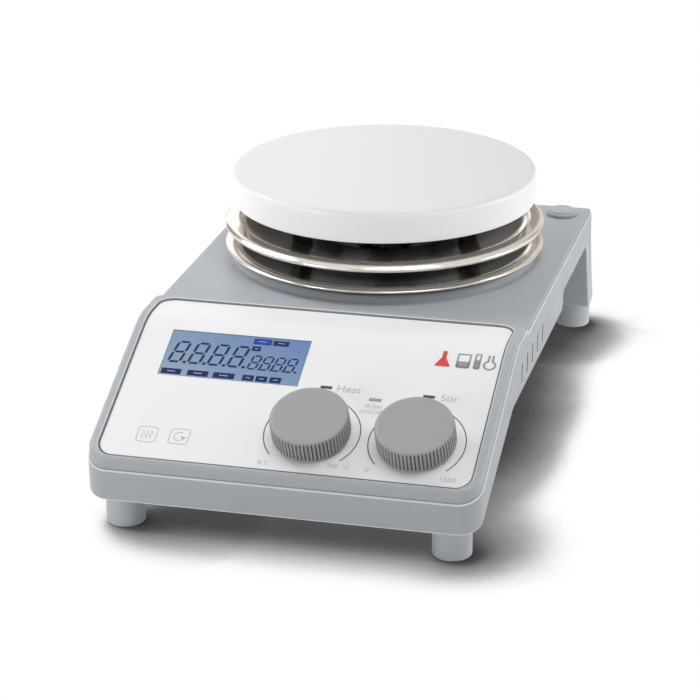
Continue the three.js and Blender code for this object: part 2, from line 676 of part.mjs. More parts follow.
function addHeatStack(group) {
  const sensorHole = sensorRod(SENSOR.hole, HEATER_BOTTOM - 10, HEATER_TOP + 1);
  const plateHoles = shieldHoles(RETAINER_BOTTOM - 1, INSULATION_TOP + 1);
  const heater = disc(61, HEATER_BOTTOM, HEATER_TOP).subtract(sensorHole);
  const blanket = cut(disc(63, INSULATION_BOTTOM, INSULATION_TOP), sensorHole, ...plateHoles);
  const retainer = cut(disc(62, RETAINER_BOTTOM, RETAINER_TOP), sensorHole, ...plateHoles);
  group.add(makeMesh('work_plate', workPlate(), MATERIALS.plate));
  group.add(makeMesh('heating_element', heater, MATERIALS.heater));
  group.add(makeMesh('insulation_blanket', blanket, MATERIALS.fibre));
  group.add(makeMesh('retainer_plate', retainer, MATERIALS.steel));
  const sensor = sensorRod(SENSOR.radius, RETAINER_BOTTOM - 3, PLATE_UNDERSIDE + 1.4);
  group.add(makeMesh('temperature_sensor', sensor, MATERIALS.steel));

  const upper = heatShield(UPPER_SHIELD_BASE, 34, UPPER_BOWL);
  const lowerBase = BOSS_TOP + GAP;
  const lower = heatShield(lowerBase, 12, LOWER_BOWL);
  const holes = shieldHoles(lowerBase - 2, UPPER_SHIELD_BASE + 4);
  group.add(makeMesh('upper_heat_shield', cut(upper, ...holes), MATERIALS.polished));
  group.add(makeMesh('lower_heat_shield', cut(lower, ...holes), MATERIALS.polished));

  const spacerBottom = lowerBase + SHIELD_SHEET + GAP;
  const studBottom = UPPER_SHIELD_BASE + SHIELD_SHEET + GAP;
  onStudCircle((x, y) => [x, y]).forEach(([x, y], index) => {
    const tube = rod(4.5, spacerBottom, UPPER_SHIELD_BASE - GAP, 0, 0, 16)
      .subtract(rod(STUD_RADIUS + 0.4, spacerBottom - 1, UPPER_SHIELD_BASE, 0, 0, 12));
    const sleeve = makeMesh(`shield_spacer_${index + 1}`, tube, MATERIALS.steel);
    const pillar = rod(4.5, studBottom, RETAINER_BOTTOM - GAP, 0, 0, 6)
      .add(rod(STUD_RADIUS, DECK_Z - 4.5, INSULATION_TOP - 1, 0, 0, 12));
    const stud = makeMesh(`plate_stud_${index + 1}`, pillar, MATERIALS.steel);
    sleeve.position.set(x, y, 0);
    stud.position.set(x, y, 0);
    group.add(sleeve, stud);
  });
  group.add(heaterLead());
}

function heaterLead() {
  const path = new THREE.CatmullRomCurve3([
    new THREE.Vector3(0, LEAD_Y, INSULATION_TOP - 1.5), new THREE.Vector3(0, LEAD_Y, 75),
    new THREE.Vector3(0, LEAD_Y, 60), new THREE.Vector3(3, LEAD_Y + 4, 48),
    new THREE.Vector3(12, LEAD_Y + 10, 38),
  ]);
  const section = new THREE.Shape().absarc(0, 0, LEAD_RADIUS, 0, Math.PI * 2);
  const geometry = new THREE.ExtrudeGeometry(section, {
    steps: 10, curveSegments: 4, bevelEnabled: false, extrudePath: path,
  });
  return makeMesh('heater_lead', toSolid(geometry), MATERIALS.fibre);
}

// ---------- motor and rotor ----------
function motorBody() {
  const [z0, z1] = MOTOR_Z;
  const can = rod(MOTOR_RADIUS, z0, z1, 0, 0, 32);
  const bore = rod(7.4, z1 - 5, z1 + 1);
  const shaftBore = rod(MOTOR_SHAFT_RADIUS + GAP, z0 + 4, z1, 0, 0, 16);
  return cut(can, bore, shaftBore);
}

function motorBracket() {
  const plate = block(-36, 36, -16, 16, 51.5, 53.5);
  const ears = [-1, 1].map((side) => {
    const [near, far] = [side * 34, side * 36].sort((a, b) => a - b);
    const [inner, outer] = [side * 34, side * 44].sort((a, b) => a - b);
    return block(near, far, -8, 8, 52, 60.5).add(block(inner, outer, -8, 8, 58.5, 60.5));
  });
  return cut(join(plate, ...ears), rod(8.5, 50, 56, 0, 0, 32));
}

function bearing(z0) {
  return disc(7.1, z0, z0 + 4.6, MOTOR_SHAFT_RADIUS + 0.25);
}

function addMotor(group) {
  group.add(makeMesh('motor_body', motorBody(), MATERIALS.steel));
  group.add(makeMesh('motor_bearing', bearing(MOTOR_Z[1] - 4.7), MATERIALS.steel));
  group.add(makeMesh('motor_bracket', motorBracket(), MATERIALS.steel));
  const shaft = rod(MOTOR_SHAFT_RADIUS, MOTOR_Z[0] + 4.5, ROTOR_Z[1] - 0.5, 0, 0, 20);
  group.add(makeMesh('motor_shaft', shaft, MATERIALS.steel));
  const [z0, z1] = ROTOR_Z;
  const carrier = join(rod(ROTOR_RADIUS, z0, z1, 0, 0, 32), rod(6, z0 - 4, z0 + 1));
  const bore = rod(MOTOR_SHAFT_RADIUS + 0.25, z0 - 5, z1 + 1, 0, 0, 20);
  group.add(makeMesh('magnet_carrier', carrier.subtract(bore), MATERIALS.steel));
  for (const [name, side] of [['magnet_north', 1], ['magnet_south', -1]]) {
    const magnet = makeMesh(name, block(-6, 6, -9, 9, 0, 4.5), MATERIALS.magnet);
    magnet.position.set(side * 18, 0, z1 + 0.2);
    group.add(magnet);
  }
}

// ---------- power, sockets and boards ----------
function mainBoard() {
  const sheet = block(-52, 52, 34, 76, 21, 22.6);
  const transformer = block(-46, -18, 38, 62, 22, 44);
  const capacitor = rod(6, 22, 42, -4, 44, 20);
  const heatSink = block(18, 46, 40, 46, 22, 40);
  const relay = block(20, 36, 52, 62, 22, 34);
  return join(sheet, transformer, capacitor, heatSink, relay);
}

function powerInlet() {
  const flange = block(-15.5, 15.5, -15, 15, 0.2, 2.2);
  const shell = block(-13.3, 13.3, -12.8, 12.8, -20, 1);
  const pocket = block(-11, 11, -3.5, 11, -14, 3);
  const pins = [[-6, 2], [0, 6], [6, 2]].map(([x, y]) => block(x - 1, x + 1, y - 1.5, y + 1.5, -15, -1));
  const drawerBay = block(-10.3, 10.3, -11.3, -5.7, -18, 3);
  return cut(flange.add(shell), pocket, drawerBay).add(join(...pins));
}

function fuseDrawer() {
  const face = block(-10, 10, -11, -6, -17, 3.2);
  const grip = block(-3, 3, -11.2, -10.2, 2.2, 4);
  return cut(face, grip, block(-8, 8, -10, -5, -15.5, -1.5));
}

function switchFrame() {
  const flange = block(-8, 8, -11, 11, 0.2, 2);
  const shell = block(-6.4, 6.4, -9.4, 9.4, -13, 1);
  return cut(flange.add(shell), block(-5.3, 5.3, -8.3, 8.3, -9, 3));
}

// rocker seen from the side: two faces that meet in a shallow valley above the pivot
function rocker() {
  const outline = [[-7.6, 3], [0, 1.4], [7.6, 3], [7, -1.5], [2.2, -5], [-2.2, -5], [-7, -1.5]];
  return acrossX(outline.reverse(), -4.9, 4.9);
}

function probeSocket() {
  const flange = turned([[0, 0.2], [7, 0.2], [7, 1.4], [6.4, 2], [0, 2]], 20);
  return cut(flange.add(rod(4.8, -12, 1)), rod(3.8, -8, 3));
}

function serialSocket() {
  const flange = block(-14, 14, -6.2, 6.2, 0.2, 1.4);
  const shell = slab([[-8, 4], [8, 4], [6.6, -4], [-6.6, -4]].reverse(), -10, 6);
  const opening = slab([[-7.3, 3.3], [7.3, 3.3], [6, -3.3], [-6, -3.3]].reverse(), -2, 7);
  return cut(flange.add(shell), opening);
}

function addBackPanel(group) {
  const place = (name, solid, material, { x, drop }) => {
    const mesh = makeMesh(name, solid, material);
    mesh.position.set(-x, -drop, 0);
    backFrame.add(mesh);
    return mesh;
  };
  place('power_inlet', powerInlet(), MATERIALS.dark, INLET);
  place('fuse_drawer', fuseDrawer(), MATERIALS.dark, INLET);
  place('switch_frame', switchFrame(), MATERIALS.dark, SWITCH);
  const lever = place('power_rocker', rocker(), MATERIALS.dark, SWITCH);
  lever.rotation.x = THREE.MathUtils.degToRad(-7);
  place('probe_socket', probeSocket(), MATERIALS.brass, PROBE_SOCKET);
  place('serial_socket', serialSocket(), MATERIALS.steel, SERIAL_SOCKET);
  group.add(backFrame);
  group.add(makeMesh('main_board', mainBoard(), MATERIALS.board));
}

// ---------- support rod socket ----------
function addRodHole(group) {
  const socket = rod(8, DECK_Z - WALL - 0.4 - 9, DECK_Z - WALL - 0.4 - GAP, 0, 0, 24);
  const plug = turned([
    [0, DECK_Z - 9], [4.4, DECK_Z - 9], [5.1, DECK_Z - 8], [5.1, DECK_Z + 0.2], [7.2, DECK_Z + 0.2],
    [7.2, DECK_Z + 1.6], [6.2, DECK_Z + 2.6], [0, DECK_Z + 2.8],
  ], 20);
  const meshes = [
    makeMesh('rod_socket', socket.subtract(rod(5.4, 0, 80, 0, 0, 24)), MATERIALS.steel),
    makeMesh('rod_hole_plug', plug, MATERIALS.housing),
  ];
  for (const mesh of meshes) {
    mesh.position.set(...ROD_HOLE, 0);
    group.add(mesh);
  }
}

const group = new THREE.Group();
addHousing(group);
addPanel(group);
addHeatStack(group);
addMotor(group);
addBackPanel(group);
addRodHole(group);
group.position.y = PLATE_AXIS_Y;

export default group;
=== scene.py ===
# Hotplate magnetic stirrer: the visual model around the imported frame, its materials, light and camera.
# Shapes are drawn in millimetres about the axis of the work plate and then brought into the row frame.
import json
import math

import bmesh
import bpy
from mathutils import Matrix, Vector


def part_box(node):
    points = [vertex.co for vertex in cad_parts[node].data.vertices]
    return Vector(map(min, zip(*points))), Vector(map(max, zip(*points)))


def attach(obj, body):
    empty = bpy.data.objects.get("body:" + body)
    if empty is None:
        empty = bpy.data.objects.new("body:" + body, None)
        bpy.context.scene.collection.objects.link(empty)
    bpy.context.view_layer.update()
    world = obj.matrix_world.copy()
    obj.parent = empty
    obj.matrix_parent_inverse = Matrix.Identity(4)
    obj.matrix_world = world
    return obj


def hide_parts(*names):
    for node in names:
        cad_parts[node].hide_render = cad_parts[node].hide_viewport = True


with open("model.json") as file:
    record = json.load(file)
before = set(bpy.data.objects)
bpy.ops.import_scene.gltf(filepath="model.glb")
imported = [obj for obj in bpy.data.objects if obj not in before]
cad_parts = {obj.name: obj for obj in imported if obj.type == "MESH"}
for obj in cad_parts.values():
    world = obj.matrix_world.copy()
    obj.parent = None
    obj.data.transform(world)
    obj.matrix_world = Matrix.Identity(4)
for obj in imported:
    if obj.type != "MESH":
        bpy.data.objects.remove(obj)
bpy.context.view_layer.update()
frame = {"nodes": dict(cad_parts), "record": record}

# ---------- units and frames ----------
MM = 0.001
AXIS_Y = sum(corner.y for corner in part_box("work_plate")) / 2
TO_FRAME = Matrix.Translation((0, AXIS_Y, 0)) @ Matrix.Scale(MM, 4)
FROM_FRAME = TO_FRAME.inverted()


def box_mm(node):
    low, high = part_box(node)
    return FROM_FRAME @ low, FROM_FRAME @ high


# ---------- dimensions ----------
LID_LOW, LID_HIGH = box_mm("upper_housing")
PLATE_LOW, PLATE_HIGH = box_mm("work_plate")
UPPER_SHIELD_LOW, UPPER_SHIELD_HIGH = box_mm("upper_heat_shield")
LOWER_SHIELD_LOW = box_mm("lower_heat_shield")[0]
PLUG_LOW, PLUG_HIGH = box_mm("rod_hole_plug")

HALF_WIDTH = LID_HIGH.x
FRONT_Y = LID_LOW.y
REAR_Y = LID_HIGH.y
FRONT_CORNER = 9.5
REAR_CORNER = 2.2
WALL = 2.5
GAP = 0.3
SEAM_INSET = 0.6  # the lid stands this far inside the lower half, which leaves a narrow ledge

DECK_Z = 63.6
DECK_SEAM = 62.2
SEAM_FRONT_Z = 27.4
SEAM_BEND = (-103, 64.2)
PANEL_END_Y = -82.5
BOSS_RADIUS = 68.2
BOSS_TOP = 66.4
BOSS_OPENING = 16
ROD_BORE = 5.5
MID_FLOOR = 40.2
REAR_FLOOR = 48.8
FLOOR_STEP_Y = 8
REAR_RAKE = 21.5 / 50.5
LEG_BOTTOM = 12
VENT_EDGE = 0.25
SEAM_EDGE = 0.45
LOWER_EDGE = 0.9
RIM_EDGE = 0.35
UNDERSIDE_RISE = 0.39  # of the front block, from its front edge to the level underside
UNDERSIDE_BEND_Y = -112
SIDE_LEAN = 0.01
FRONT_LEAN = 0.07
VENT = {"count": 5, "first_y": -93, "pitch": 12, "width": 3, "z0": 43.5, "z1": 53}

PANEL_SLOPE = math.radians(24.8)
PANEL_FRONT = Vector((0, -179.6, 32.2))
PANEL_FLAT_Z = 65.5
PANEL_RIM = 1.0
LABEL_HALF_WIDTH = 76.8
LABEL_CORNER = 7
LABEL_END_Y = -86
LABEL_SHEET = 0.4
WINDOW = (-63.15, -3.7, 47.1, 72.8)
WINDOW_DEPTH = 1.9
WINDOW_LEDGE = 1.5
KNOBS = {"heat": (8.3, 22.4), "stir": (51.1, 22.5)}
KNOB_RADIUS = 16
KNOB_HEIGHT = 9.6
KNOB_LIFT = 1.2
KNOB_RIBS = 64
KNOB_GROOVE = 1.0
KNOB_BORE = 4.4
SCALE_RADIUS = 19.5
SCALE_ENDS = (223, -43)  # degrees round the knob
LAMP_SIZE = (4.6, 1.3)
LAMPS = {"heat_lamp": (8.3, 48), "stir_lamp": (50.85, 47.9), "power_lamp": (29.6, 43.55)}
ROD_HOLE = ((PLUG_LOW.x + PLUG_HIGH.x) / 2, (PLUG_LOW.y + PLUG_HIGH.y) / 2)
FOOT_RADIUS = 8
FOOT_BORE = 2.4
FOOT_RECESS = (4.4, 5.4)  # radius and depth of the room for the screw head
COVER_HALF_WIDTH = 57.6
STUD_CIRCLE = 42
STUD_ANGLES = (104, 224, 344)
STUD_HOLE = 2.5
LEAD_HOLE = 3.6
LEAD_Y = 44
SHIELD_SHEET = 0.9
UPPER_SHIELD_HOLE = 34
LOWER_SHIELD_HOLE = 12
UPPER_BOWL = (48, 62.4, 81.7, 2.8)  # radius of bend and crest, height of crest, depth of roll
LOWER_BOWL = (53, 65, 71.3, 1.9)
FEET = {name: sum(box_mm(f"foot_{name}"), Vector()) / 2
        for name in ("front_left", "front_right", "rear_left", "rear_right")}

PANEL = Matrix.Translation(PANEL_FRONT) @ Matrix.Rotation(PANEL_SLOPE, 4, "X")
BEND_Y = PANEL_FRONT.y + (PANEL_FLAT_Z - PANEL_FRONT.z) / math.tan(PANEL_SLOPE)
BEND_REACH = 7  # the bend of the panel is a curve this long before and after the corner


# ---------- looks that more than one function needs ----------
PLATE_TOP_WHITE = (206, 206, 206)
# painted light: the upright side of the plate is painted whiter than its top
PLATE_SIDE_PAINTED_LIGHT = (238, 238, 238)
RINGS_PER_METRE = 2600  # turning marks of spun metal

FLOOR_SHADE_LEAN = (-0.65, 0.12, 0.75)
FLOOR_SHADE_REACH = 0.05
FLOOR_SHADE = [(0.08, 22), (0.48, 78), (0.72, 165), (0.86, 255)]  # open share of the sky and grey level
WORLD_STRENGTH = 0.95
FRONT_DIMMING = 0.08
MIRROR_SIDEWAYS = [
    (0.0, (0.8, 0.8, 0.79)), (0.1, (0.85, 0.85, 0.84)), (0.13, (0.12, 0.1, 0.09)), (0.17, (0.2, 0.17, 0.15)),
    (0.2, (1.3, 1.3, 1.3)), (0.38, (1.3, 1.3, 1.3)), (0.42, (0.26, 0.23, 0.19)), (0.5, (0.42, 0.38, 0.32)),
    (0.57, (0.8, 0.76, 0.68)), (0.68, (0.5, 0.45, 0.41)), (0.72, (0.3, 0.26, 0.23)),
    (0.78, (1.1, 1.09, 1.07)), (1.0, (0.9, 0.88, 0.85)),
]
MIRROR_UPWARD = [(0.3, (0.45, 0.41, 0.37)), (1.0, (0.85, 0.82, 0.78))]
LIGHTS = [  # name, place, target, width, height, watts
    ("key", (-0.6, 0.15, 0.6), (0, 0, 0.03), 0.4, 0.4, 2.6),
    ("overhead", (0.3, -0.3, 1.1), (0, 0, 0.06), 0.6, 0.6, 4),
    ("right_side", (1.0, 0.25, 0.35), (0, 0, 0.05), 0.3, 0.9, 2.6),
    ("left_front", (-0.45, -0.62, 0.14), (0, -0.1, 0.05), 0.2, 0.25, 1.15),
]
CAMERA = {"azimuth": 14.26, "elevation": 21.33, "roll": -0.31, "distance": 1175.95,
          "target": (-15.66, -2.55, 15.66)}  # degrees, and millimetres about the axis of the plate
SENSOR = 36.0
FOCAL_SHARE = 2563.34 / 700  # focal length over the width of the picture


# ---------- mesh helpers ----------
EDGE_PLACEHOLDER = bpy.data.materials.new("edge_placeholder")


def mesh_from(verts, faces, name="work"):
    mesh = bpy.data.meshes.new(name)
    mesh.from_pydata([tuple(v) for v in verts], [], faces)
    bm = bmesh.new()
    bm.from_mesh(mesh)
    bmesh.ops.recalc_face_normals(bm, faces=bm.faces)
    bm.to_mesh(mesh)
    bm.free()
    return mesh


def ring_faces(rings, segments):
    """Faces between neighbouring rings of vertices; a ring of one is a point on the axis."""
    pairs = list(zip(rings, rings[1:]))
    if len(rings[0]) > 1 and len(rings[-1]) > 1:
        pairs.append((rings[-1], rings[0]))
    faces = []
    for low, high in pairs:
        for i in range(segments):
            j = (i + 1) % segments
            corners = [low[i % len(low)], low[j % len(low)], high[j % len(high)], high[i % len(high)]]
            faces.append(list(dict.fromkeys(corners)))
    return faces


def lathe(profile, segments=160, groove_at=None):
    """Mesh turned about Z from (radius, z) points, open on the axis or closed on itself.

    A third value of a point is the share of groove_at(angle) that is taken off its radius.
    """
    verts, rings = [], []
    for radius, z, *share in profile:
        count = segments if radius > 1e-6 else 1
        rings.append(range(len(verts), len(verts) + count))
        for i in range(count):
            turn = math.tau * i / segments
            reach = radius - share[0] * groove_at(turn) if groove_at else radius
            verts.append((reach * math.cos(turn), reach * math.sin(turn), z))
    return mesh_from(verts, ring_faces(rings, segments))


def rounded(points, closed=False, steps=5):
    """Outline in which a corner given as (a, b, reach) is eased by a curve that starts that far from it."""
    result = []
    count = len(points)
    for i, point in enumerate(points):
        here = Vector(point[:2])
        if len(point) < 3 or (not closed and i in (0, count - 1)):
            result.append(tuple(here))
            continue
        before = Vector(points[i - 1][:2]) - here
        after = Vector(points[(i + 1) % count][:2]) - here
        reach = min(point[2], before.length * 0.49, after.length * 0.49)
        start = here + before.normalized() * reach
        end = here + after.normalized() * reach
        for k in range(steps + 1):
            t = k / steps
            result.append(tuple(start.lerp(here, t).lerp(here.lerp(end, t), t)))
    return result


def slab(outline, z0, z1):
    """Flat outline pulled up from z0 to z1."""
    count = len(outline)
    verts = [(x, y, z) for z in (z0, z1) for x, y in outline]
    faces = [list(range(count))[::-1], list(range(count, 2 * count))]
    faces += [[i, (i + 1) % count, count + (i + 1) % count, count + i] for i in range(count)]
    return mesh_from(verts, faces)


def block(x0, x1, y0, y1, z0, z1):
    return slab([(x0, y0), (x1, y0), (x1, y1), (x0, y1)], z0, z1)


def across_x(outline, x0, x1):
    """Side-view outline (y, z) pulled across from x0 to x1."""
    mesh = slab(outline, x0, x1)
    mesh.transform(Matrix(((0, 0, 1, 0), (1, 0, 0, 0), (0, 1, 0, 0), (0, 0, 0, 1))))
    return mesh


def rod(radius, z0, z1, x=0, y=0, segments=48):
    mesh = lathe([(0, z0), (radius, z0), (radius, z1), (0, z1)], segments)
    mesh.transform(Matrix.Translation((x, y, 0)))
    return mesh


def placed(mesh, matrix):
    mesh.transform(matrix)
    return mesh


def combine(base, tools, operation):
    """The base mesh with the tools cut away ("DIFFERENCE"), joined ("UNION") or kept ("INTERSECT")."""
    scene = bpy.context.scene
    host = bpy.data.objects.new("work_base", base)
    scene.collection.objects.link(host)
    helpers = []
    for tool in tools:
        helper = bpy.data.objects.new("work_tool", tool)
        scene.collection.objects.link(helper)
        helpers.append(helper)
        step = host.modifiers.new("step", "BOOLEAN")
        step.operation = operation
        step.solver = "MANIFOLD"
        step.object = helper
    evaluated = host.evaluated_get(bpy.context.evaluated_depsgraph_get())
    result = bpy.data.meshes.new_from_object(evaluated)
    for helper in [host, *helpers]:
        bpy.data.objects.remove(helper)
    return result


def cut(base, *tools):
    return combine(base, tools, "DIFFERENCE")


def join(base, *tools):
    return combine(base, tools, "UNION")


def tidy_faces(mesh, distance=0.02):
    """Merges points that nearly touch and faces that lie in one plane."""
    bm = bmesh.new()
    bm.from_mesh(mesh)
    bmesh.ops.remove_doubles(bm, verts=bm.verts, dist=distance)
    bmesh.ops.dissolve_degenerate(bm, edges=bm.edges, dist=distance)
    bmesh.ops.dissolve_limit(bm, angle_limit=math.radians(0.4), verts=bm.verts, edges=bm.edges)
    bm.to_mesh(mesh)
    bm.free()
    return mesh


def rounded_edges(mesh, width_at, sharp=32, segments=3):
    """Rounds each sharp edge by width_at(middle of the edge), in millimetres; the rounding is material 1."""
    mesh.materials.clear()
    for paint in (EDGE_PLACEHOLDER, EDGE_PLACEHOLDER):
        mesh.materials.append(paint)
    bm = bmesh.new()
    bm.from_mesh(mesh)
    layer = bm.edges.layers.float.new("bevel_weight_edge")
    for edge in bm.edges:
        if len(edge.link_faces) == 2 and edge.calc_face_angle(0) > math.radians(sharp):
            middle = (edge.verts[0].co + edge.verts[1].co) / 2
            edge[layer] = max(0.0, min(1.0, width_at(middle)))
    bm.to_mesh(mesh)
    bm.free()
    host = bpy.data.objects.new("work_bevel", mesh)
    bpy.context.scene.collection.objects.link(host)
    step = host.modifiers.new("round", "BEVEL")
    step.limit_method = "WEIGHT"
    step.width = 1.0
    step.segments = segments
    step.use_clamp_overlap = False
    step.miter_outer = "MITER_ARC"
    step.material = 1
    evaluated = host.evaluated_get(bpy.context.evaluated_depsgraph_get())
    result = bpy.data.meshes.new_from_object(evaluated)
    bpy.data.objects.remove(host)
    return result


def piece(name, mesh, slot, replaces=(), body="housing", paint=None, edge_paint=None, smooth=32,
          matrix=None):
    """Puts a mesh drawn in millimetres into the row frame as a named piece that rides on a body."""
    if matrix:
        mesh.transform(matrix)
    mesh.transform(TO_FRAME)
    mesh.name = name
    material_of_face = [polygon.material_index for polygon in mesh.polygons]
    mesh.materials.clear()
    mesh.materials.append(paint or PAINTS[slot])
    if edge_paint:
        mesh.materials.append(edge_paint)
    for polygon, index in zip(mesh.polygons, material_of_face):
        polygon.material_index = min(index, 1) if edge_paint else 0
    mesh.shade_smooth()
    mesh.set_sharp_from_angle(angle=math.radians(smooth))
    obj = bpy.data.objects.new(name, mesh)
    bpy.context.scene.collection.objects.link(obj)
    normals = obj.modifiers.new("face_weighted", "WEIGHTED_NORMAL")
    normals.keep_sharp = True
    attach(obj, body)
    if replaces:
        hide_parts(*replaces)
    return obj


# ---------- materials ----------
class Nodes:
    """Adds nodes to a tree; their inputs are set or linked by name or number."""

    def __init__(self, tree):
        self.tree = tree

    def feed(self, node, inputs):
        for key, value in inputs.items():
            if isinstance(value, bpy.types.NodeSocket):
                self.tree.links.new(value, node.inputs[key])
            else:
                node.inputs[key].default_value = value

    def add(self, kind, inputs=None, **settings):
        node = self.tree.nodes.new(kind)
        for key, value in settings.items():
            setattr(node, key, value)
        self.feed(node, inputs or {})
        return node

    def math(self, operation, *values):
        return self.add("ShaderNodeMath", dict(enumerate(values)), operation=operation).outputs[0]

    def span(self, value, low, high, start=0.0, end=1.0, **settings):
        """The value, with start to end carried over to low to high."""
        limits = {"Value": value, "From Min": start, "From Max": end, "To Min": low, "To Max": high}
        return self.add("ShaderNodeMapRange", limits, **settings).outputs["Result"]

    def mix(self, factor, a, b):
        node = self.add("ShaderNodeMix", {0: factor}, data_type="RGBA")
        colours = [i for i, socket in enumerate(node.inputs) if socket.type == "RGBA"]
        self.feed(node, dict(zip(colours, (a, b))))
        return next(socket for socket in node.outputs if socket.type == "RGBA")

    def ramp(self, source, stops):
        node = self.add("ShaderNodeValToRGB", {"Fac": source})
        elements = node.color_ramp.elements
        for element, (position, colour) in zip(elements, (stops[0], stops[-1])):
            element.position = position
            element.color = (*colour[:3], 1)
        for position, colour in stops[1:-1]:
            elements.new(position).color = (*colour[:3], 1)
        return node.outputs["Color"]

    def parts(self, vector):
        return self.add("ShaderNodeSeparateXYZ", {"Vector": vector}).outputs[:3]


class Paint(Nodes):
    """The nodes of one material, around its principled shader."""

    def __init__(self, name):
        self.material = bpy.data.materials.new(name)
        self.material.use_nodes = True
        super().__init__(self.material.node_tree)
        self.shader = next(n for n in self.tree.nodes if n.type == "BSDF_PRINCIPLED")
        self.output = next(n for n in self.tree.nodes if n.type == "OUTPUT_MATERIAL")
        self.place = self.add("ShaderNodeTexCoord").outputs["Object"]

    def look(self, **inputs):
        """Feeds the shader; an underscore in a name stands for a space."""
        self.feed(self.shader, {key.replace("_", " "): value for key, value in inputs.items()})

    def base(self):
        return self.shader.inputs["Base Color"].links[0].from_socket

    def noise(self, scale, detail=2.0, vector=None):
        inputs = {"Scale": scale, "Detail": detail, "Vector": vector or self.place}
        return self.add("ShaderNodeTexNoise", inputs).outputs["Fac"]

    def streaks(self, stretch, detail):
        stretched = self.add("ShaderNodeMapping", {"Scale": stretch, "Vector": self.place})
        return self.noise(1.0, detail, stretched.outputs["Vector"])

    def cells(self, scale, **settings):
        inputs = {"Scale": scale, "Vector": self.place}
        return self.add("ShaderNodeTexVoronoi", inputs, **settings).outputs["Distance"]

    def upward(self):
        return self.parts(self.add("ShaderNodeNewGeometry").outputs["Normal"])[2]

    def bump(self, height, strength, distance):
        """Fine relief, on top of the relief that the shader already has."""
        inputs = {"Strength": strength, "Distance": distance, "Height": height}
        if self.shader.inputs["Normal"].links:
            inputs["Normal"] = self.shader.inputs["Normal"].links[0].from_socket
        self.look(Normal=self.add("ShaderNodeBump", inputs).outputs["Normal"])

    def blend(self, factor, first, second):
        """Makes the surface a mix of two shaders."""
        mixed = self.add("ShaderNodeMixShader", {"Fac": factor, 1: first, 2: second})
        self.feed(self.output, {"Surface": mixed.outputs["Shader"]})


def linear(colour):
    """Display colour, 0 to 255 a channel, as the linear colour that nodes use."""
    channels = []
    for value in colour:
        c = value / 255
        channels.append(c / 12.92 if c <= 0.04045 else ((c + 0.055) / 1.055) ** 2.4)
    return (*channels, 1.0)


def shade(colour, factor):
    return tuple(min(255, c * factor) for c in colour)


def surface(name, colour, roughness, metallic=0.0, mottle=0.02, grain=1800, grain_depth=0.02,
            rough_spread=0.05, specular=0.5, coat=0.0):
    """Material with slow colour drift, uneven gloss and a fine grain; grain is cells a metre."""
    nodes = Paint(name)
    darker, lighter = (linear(shade(colour, factor)) for factor in (1 - mottle, 1 + mottle))
    drift = nodes.mix(nodes.noise(28, 3), darker, lighter)
    gloss = nodes.span(nodes.noise(55, 4), roughness - rough_spread, roughness + rough_spread, 0.3, 0.7)
    nodes.look(Base_Color=drift, Roughness=gloss, Metallic=metallic, Specular_IOR_Level=specular,
               Coat_Weight=coat, Coat_Roughness=0.12)
    nodes.bump(nodes.noise(grain, 2), 0.35, grain_depth * MM)
    return nodes


def spun(name, colour, roughness, line_depth=0.004):
    """Turned or spun metal: fine rings about the axis of the work plate."""
    nodes = surface(name, colour, roughness, 1.0, grain=900, grain_depth=0.002, rough_spread=0.02)
    centred = nodes.add("ShaderNodeMapping", {"Vector": nodes.place, "Location": (0, -AXIS_Y, 0)})
    x, y, nodes.height = nodes.parts(centred.outputs["Vector"])
    squares = nodes.math("ADD", nodes.math("POWER", x, 2.0), nodes.math("POWER", y, 2.0))
    nodes.radius = nodes.math("SQRT", squares)
    rings = nodes.add("ShaderNodeCombineXYZ", {"X": nodes.radius, "Y": nodes.height})
    nodes.bump(nodes.noise(RINGS_PER_METRE, 3, rings.outputs["Vector"]), 0.5, line_depth * MM)
    return nodes


def paint_light_and_shade_in_corners(nodes, reach, colour, low, high, only_upward=False):
    """Painted light and shade: blends the base colour towards another colour where the surface is hemmed in;
    a lighter colour offsets the shade there, a darker one paints shade.
    """
    open_air = nodes.add("ShaderNodeAmbientOcclusion", {"Distance": reach}, samples=8)
    share = nodes.span(open_air.outputs["AO"], 0.0, 1.0, low, high)
    if only_upward:
        behind = nodes.math("GREATER_THAN", nodes.parts(nodes.place)[1], AXIS_Y + 0.06)
        kept = nodes.math("MAXIMUM", behind, nodes.span(nodes.upward(), 0.0, 1.0, 0.2, 0.8))
        share = nodes.math("MAXIMUM", share, nodes.math("SUBTRACT", 1.0, kept))
    nodes.look(Base_Color=nodes.mix(share, linear(colour), nodes.base()))


def polished_material():
    """Mirror sheet: bright on the crests; the bowls carry painted shade and reflection, brown in the upper
    bowl and nearly black in the lower one.
    """
    nodes = spun("polished_sheet", (240, 234, 226), 0.07)
    bright = nodes.base()
    upper = nodes.math("GREATER_THAN", nodes.height, (LOWER_BOWL[2] + 2) * MM)
    crest = nodes.span(upper, LOWER_BOWL[1] * MM, UPPER_BOWL[1] * MM)
    inward = nodes.math("SUBTRACT", crest, nodes.radius)
    on_crest = nodes.span(inward, 1.0, 0.0, -0.3 * MM, 0.9 * MM)
    # painted shade and reflection: the bowls are painted brown in the upper ring and near black in the lower,
    # darkest deep inside
    tan = nodes.mix(upper, linear((44, 36, 31)), linear((122, 104, 90)))
    umber = nodes.mix(upper, linear((12, 10, 9)), linear((52, 43, 37)))
    bowl = nodes.mix(nodes.span(inward, 0.0, 1.0, 0.0, 14 * MM), tan, umber)
    bowl = nodes.mix(nodes.span(inward, 0.0, 1.0, 16 * MM, 24 * MM), bowl, linear((10, 9, 8)))
    nodes.look(Base_Color=nodes.mix(on_crest, bowl, bright), Metallic=nodes.span(on_crest, 0.25, 0.75),
               Roughness=nodes.span(on_crest, 0.35, 0.1), Specular_IOR_Level=nodes.span(on_crest, 0.2, 0.5))
    return nodes.material


def brushed(name, colour, roughness):
    """Metal with fine lines along X."""
    nodes = surface(name, colour, roughness, 1.0, grain=700, grain_depth=0.002)
    nodes.bump(nodes.streaks((40, 1600, 1600), 3), 0.4, 0.006 * MM)
    return nodes


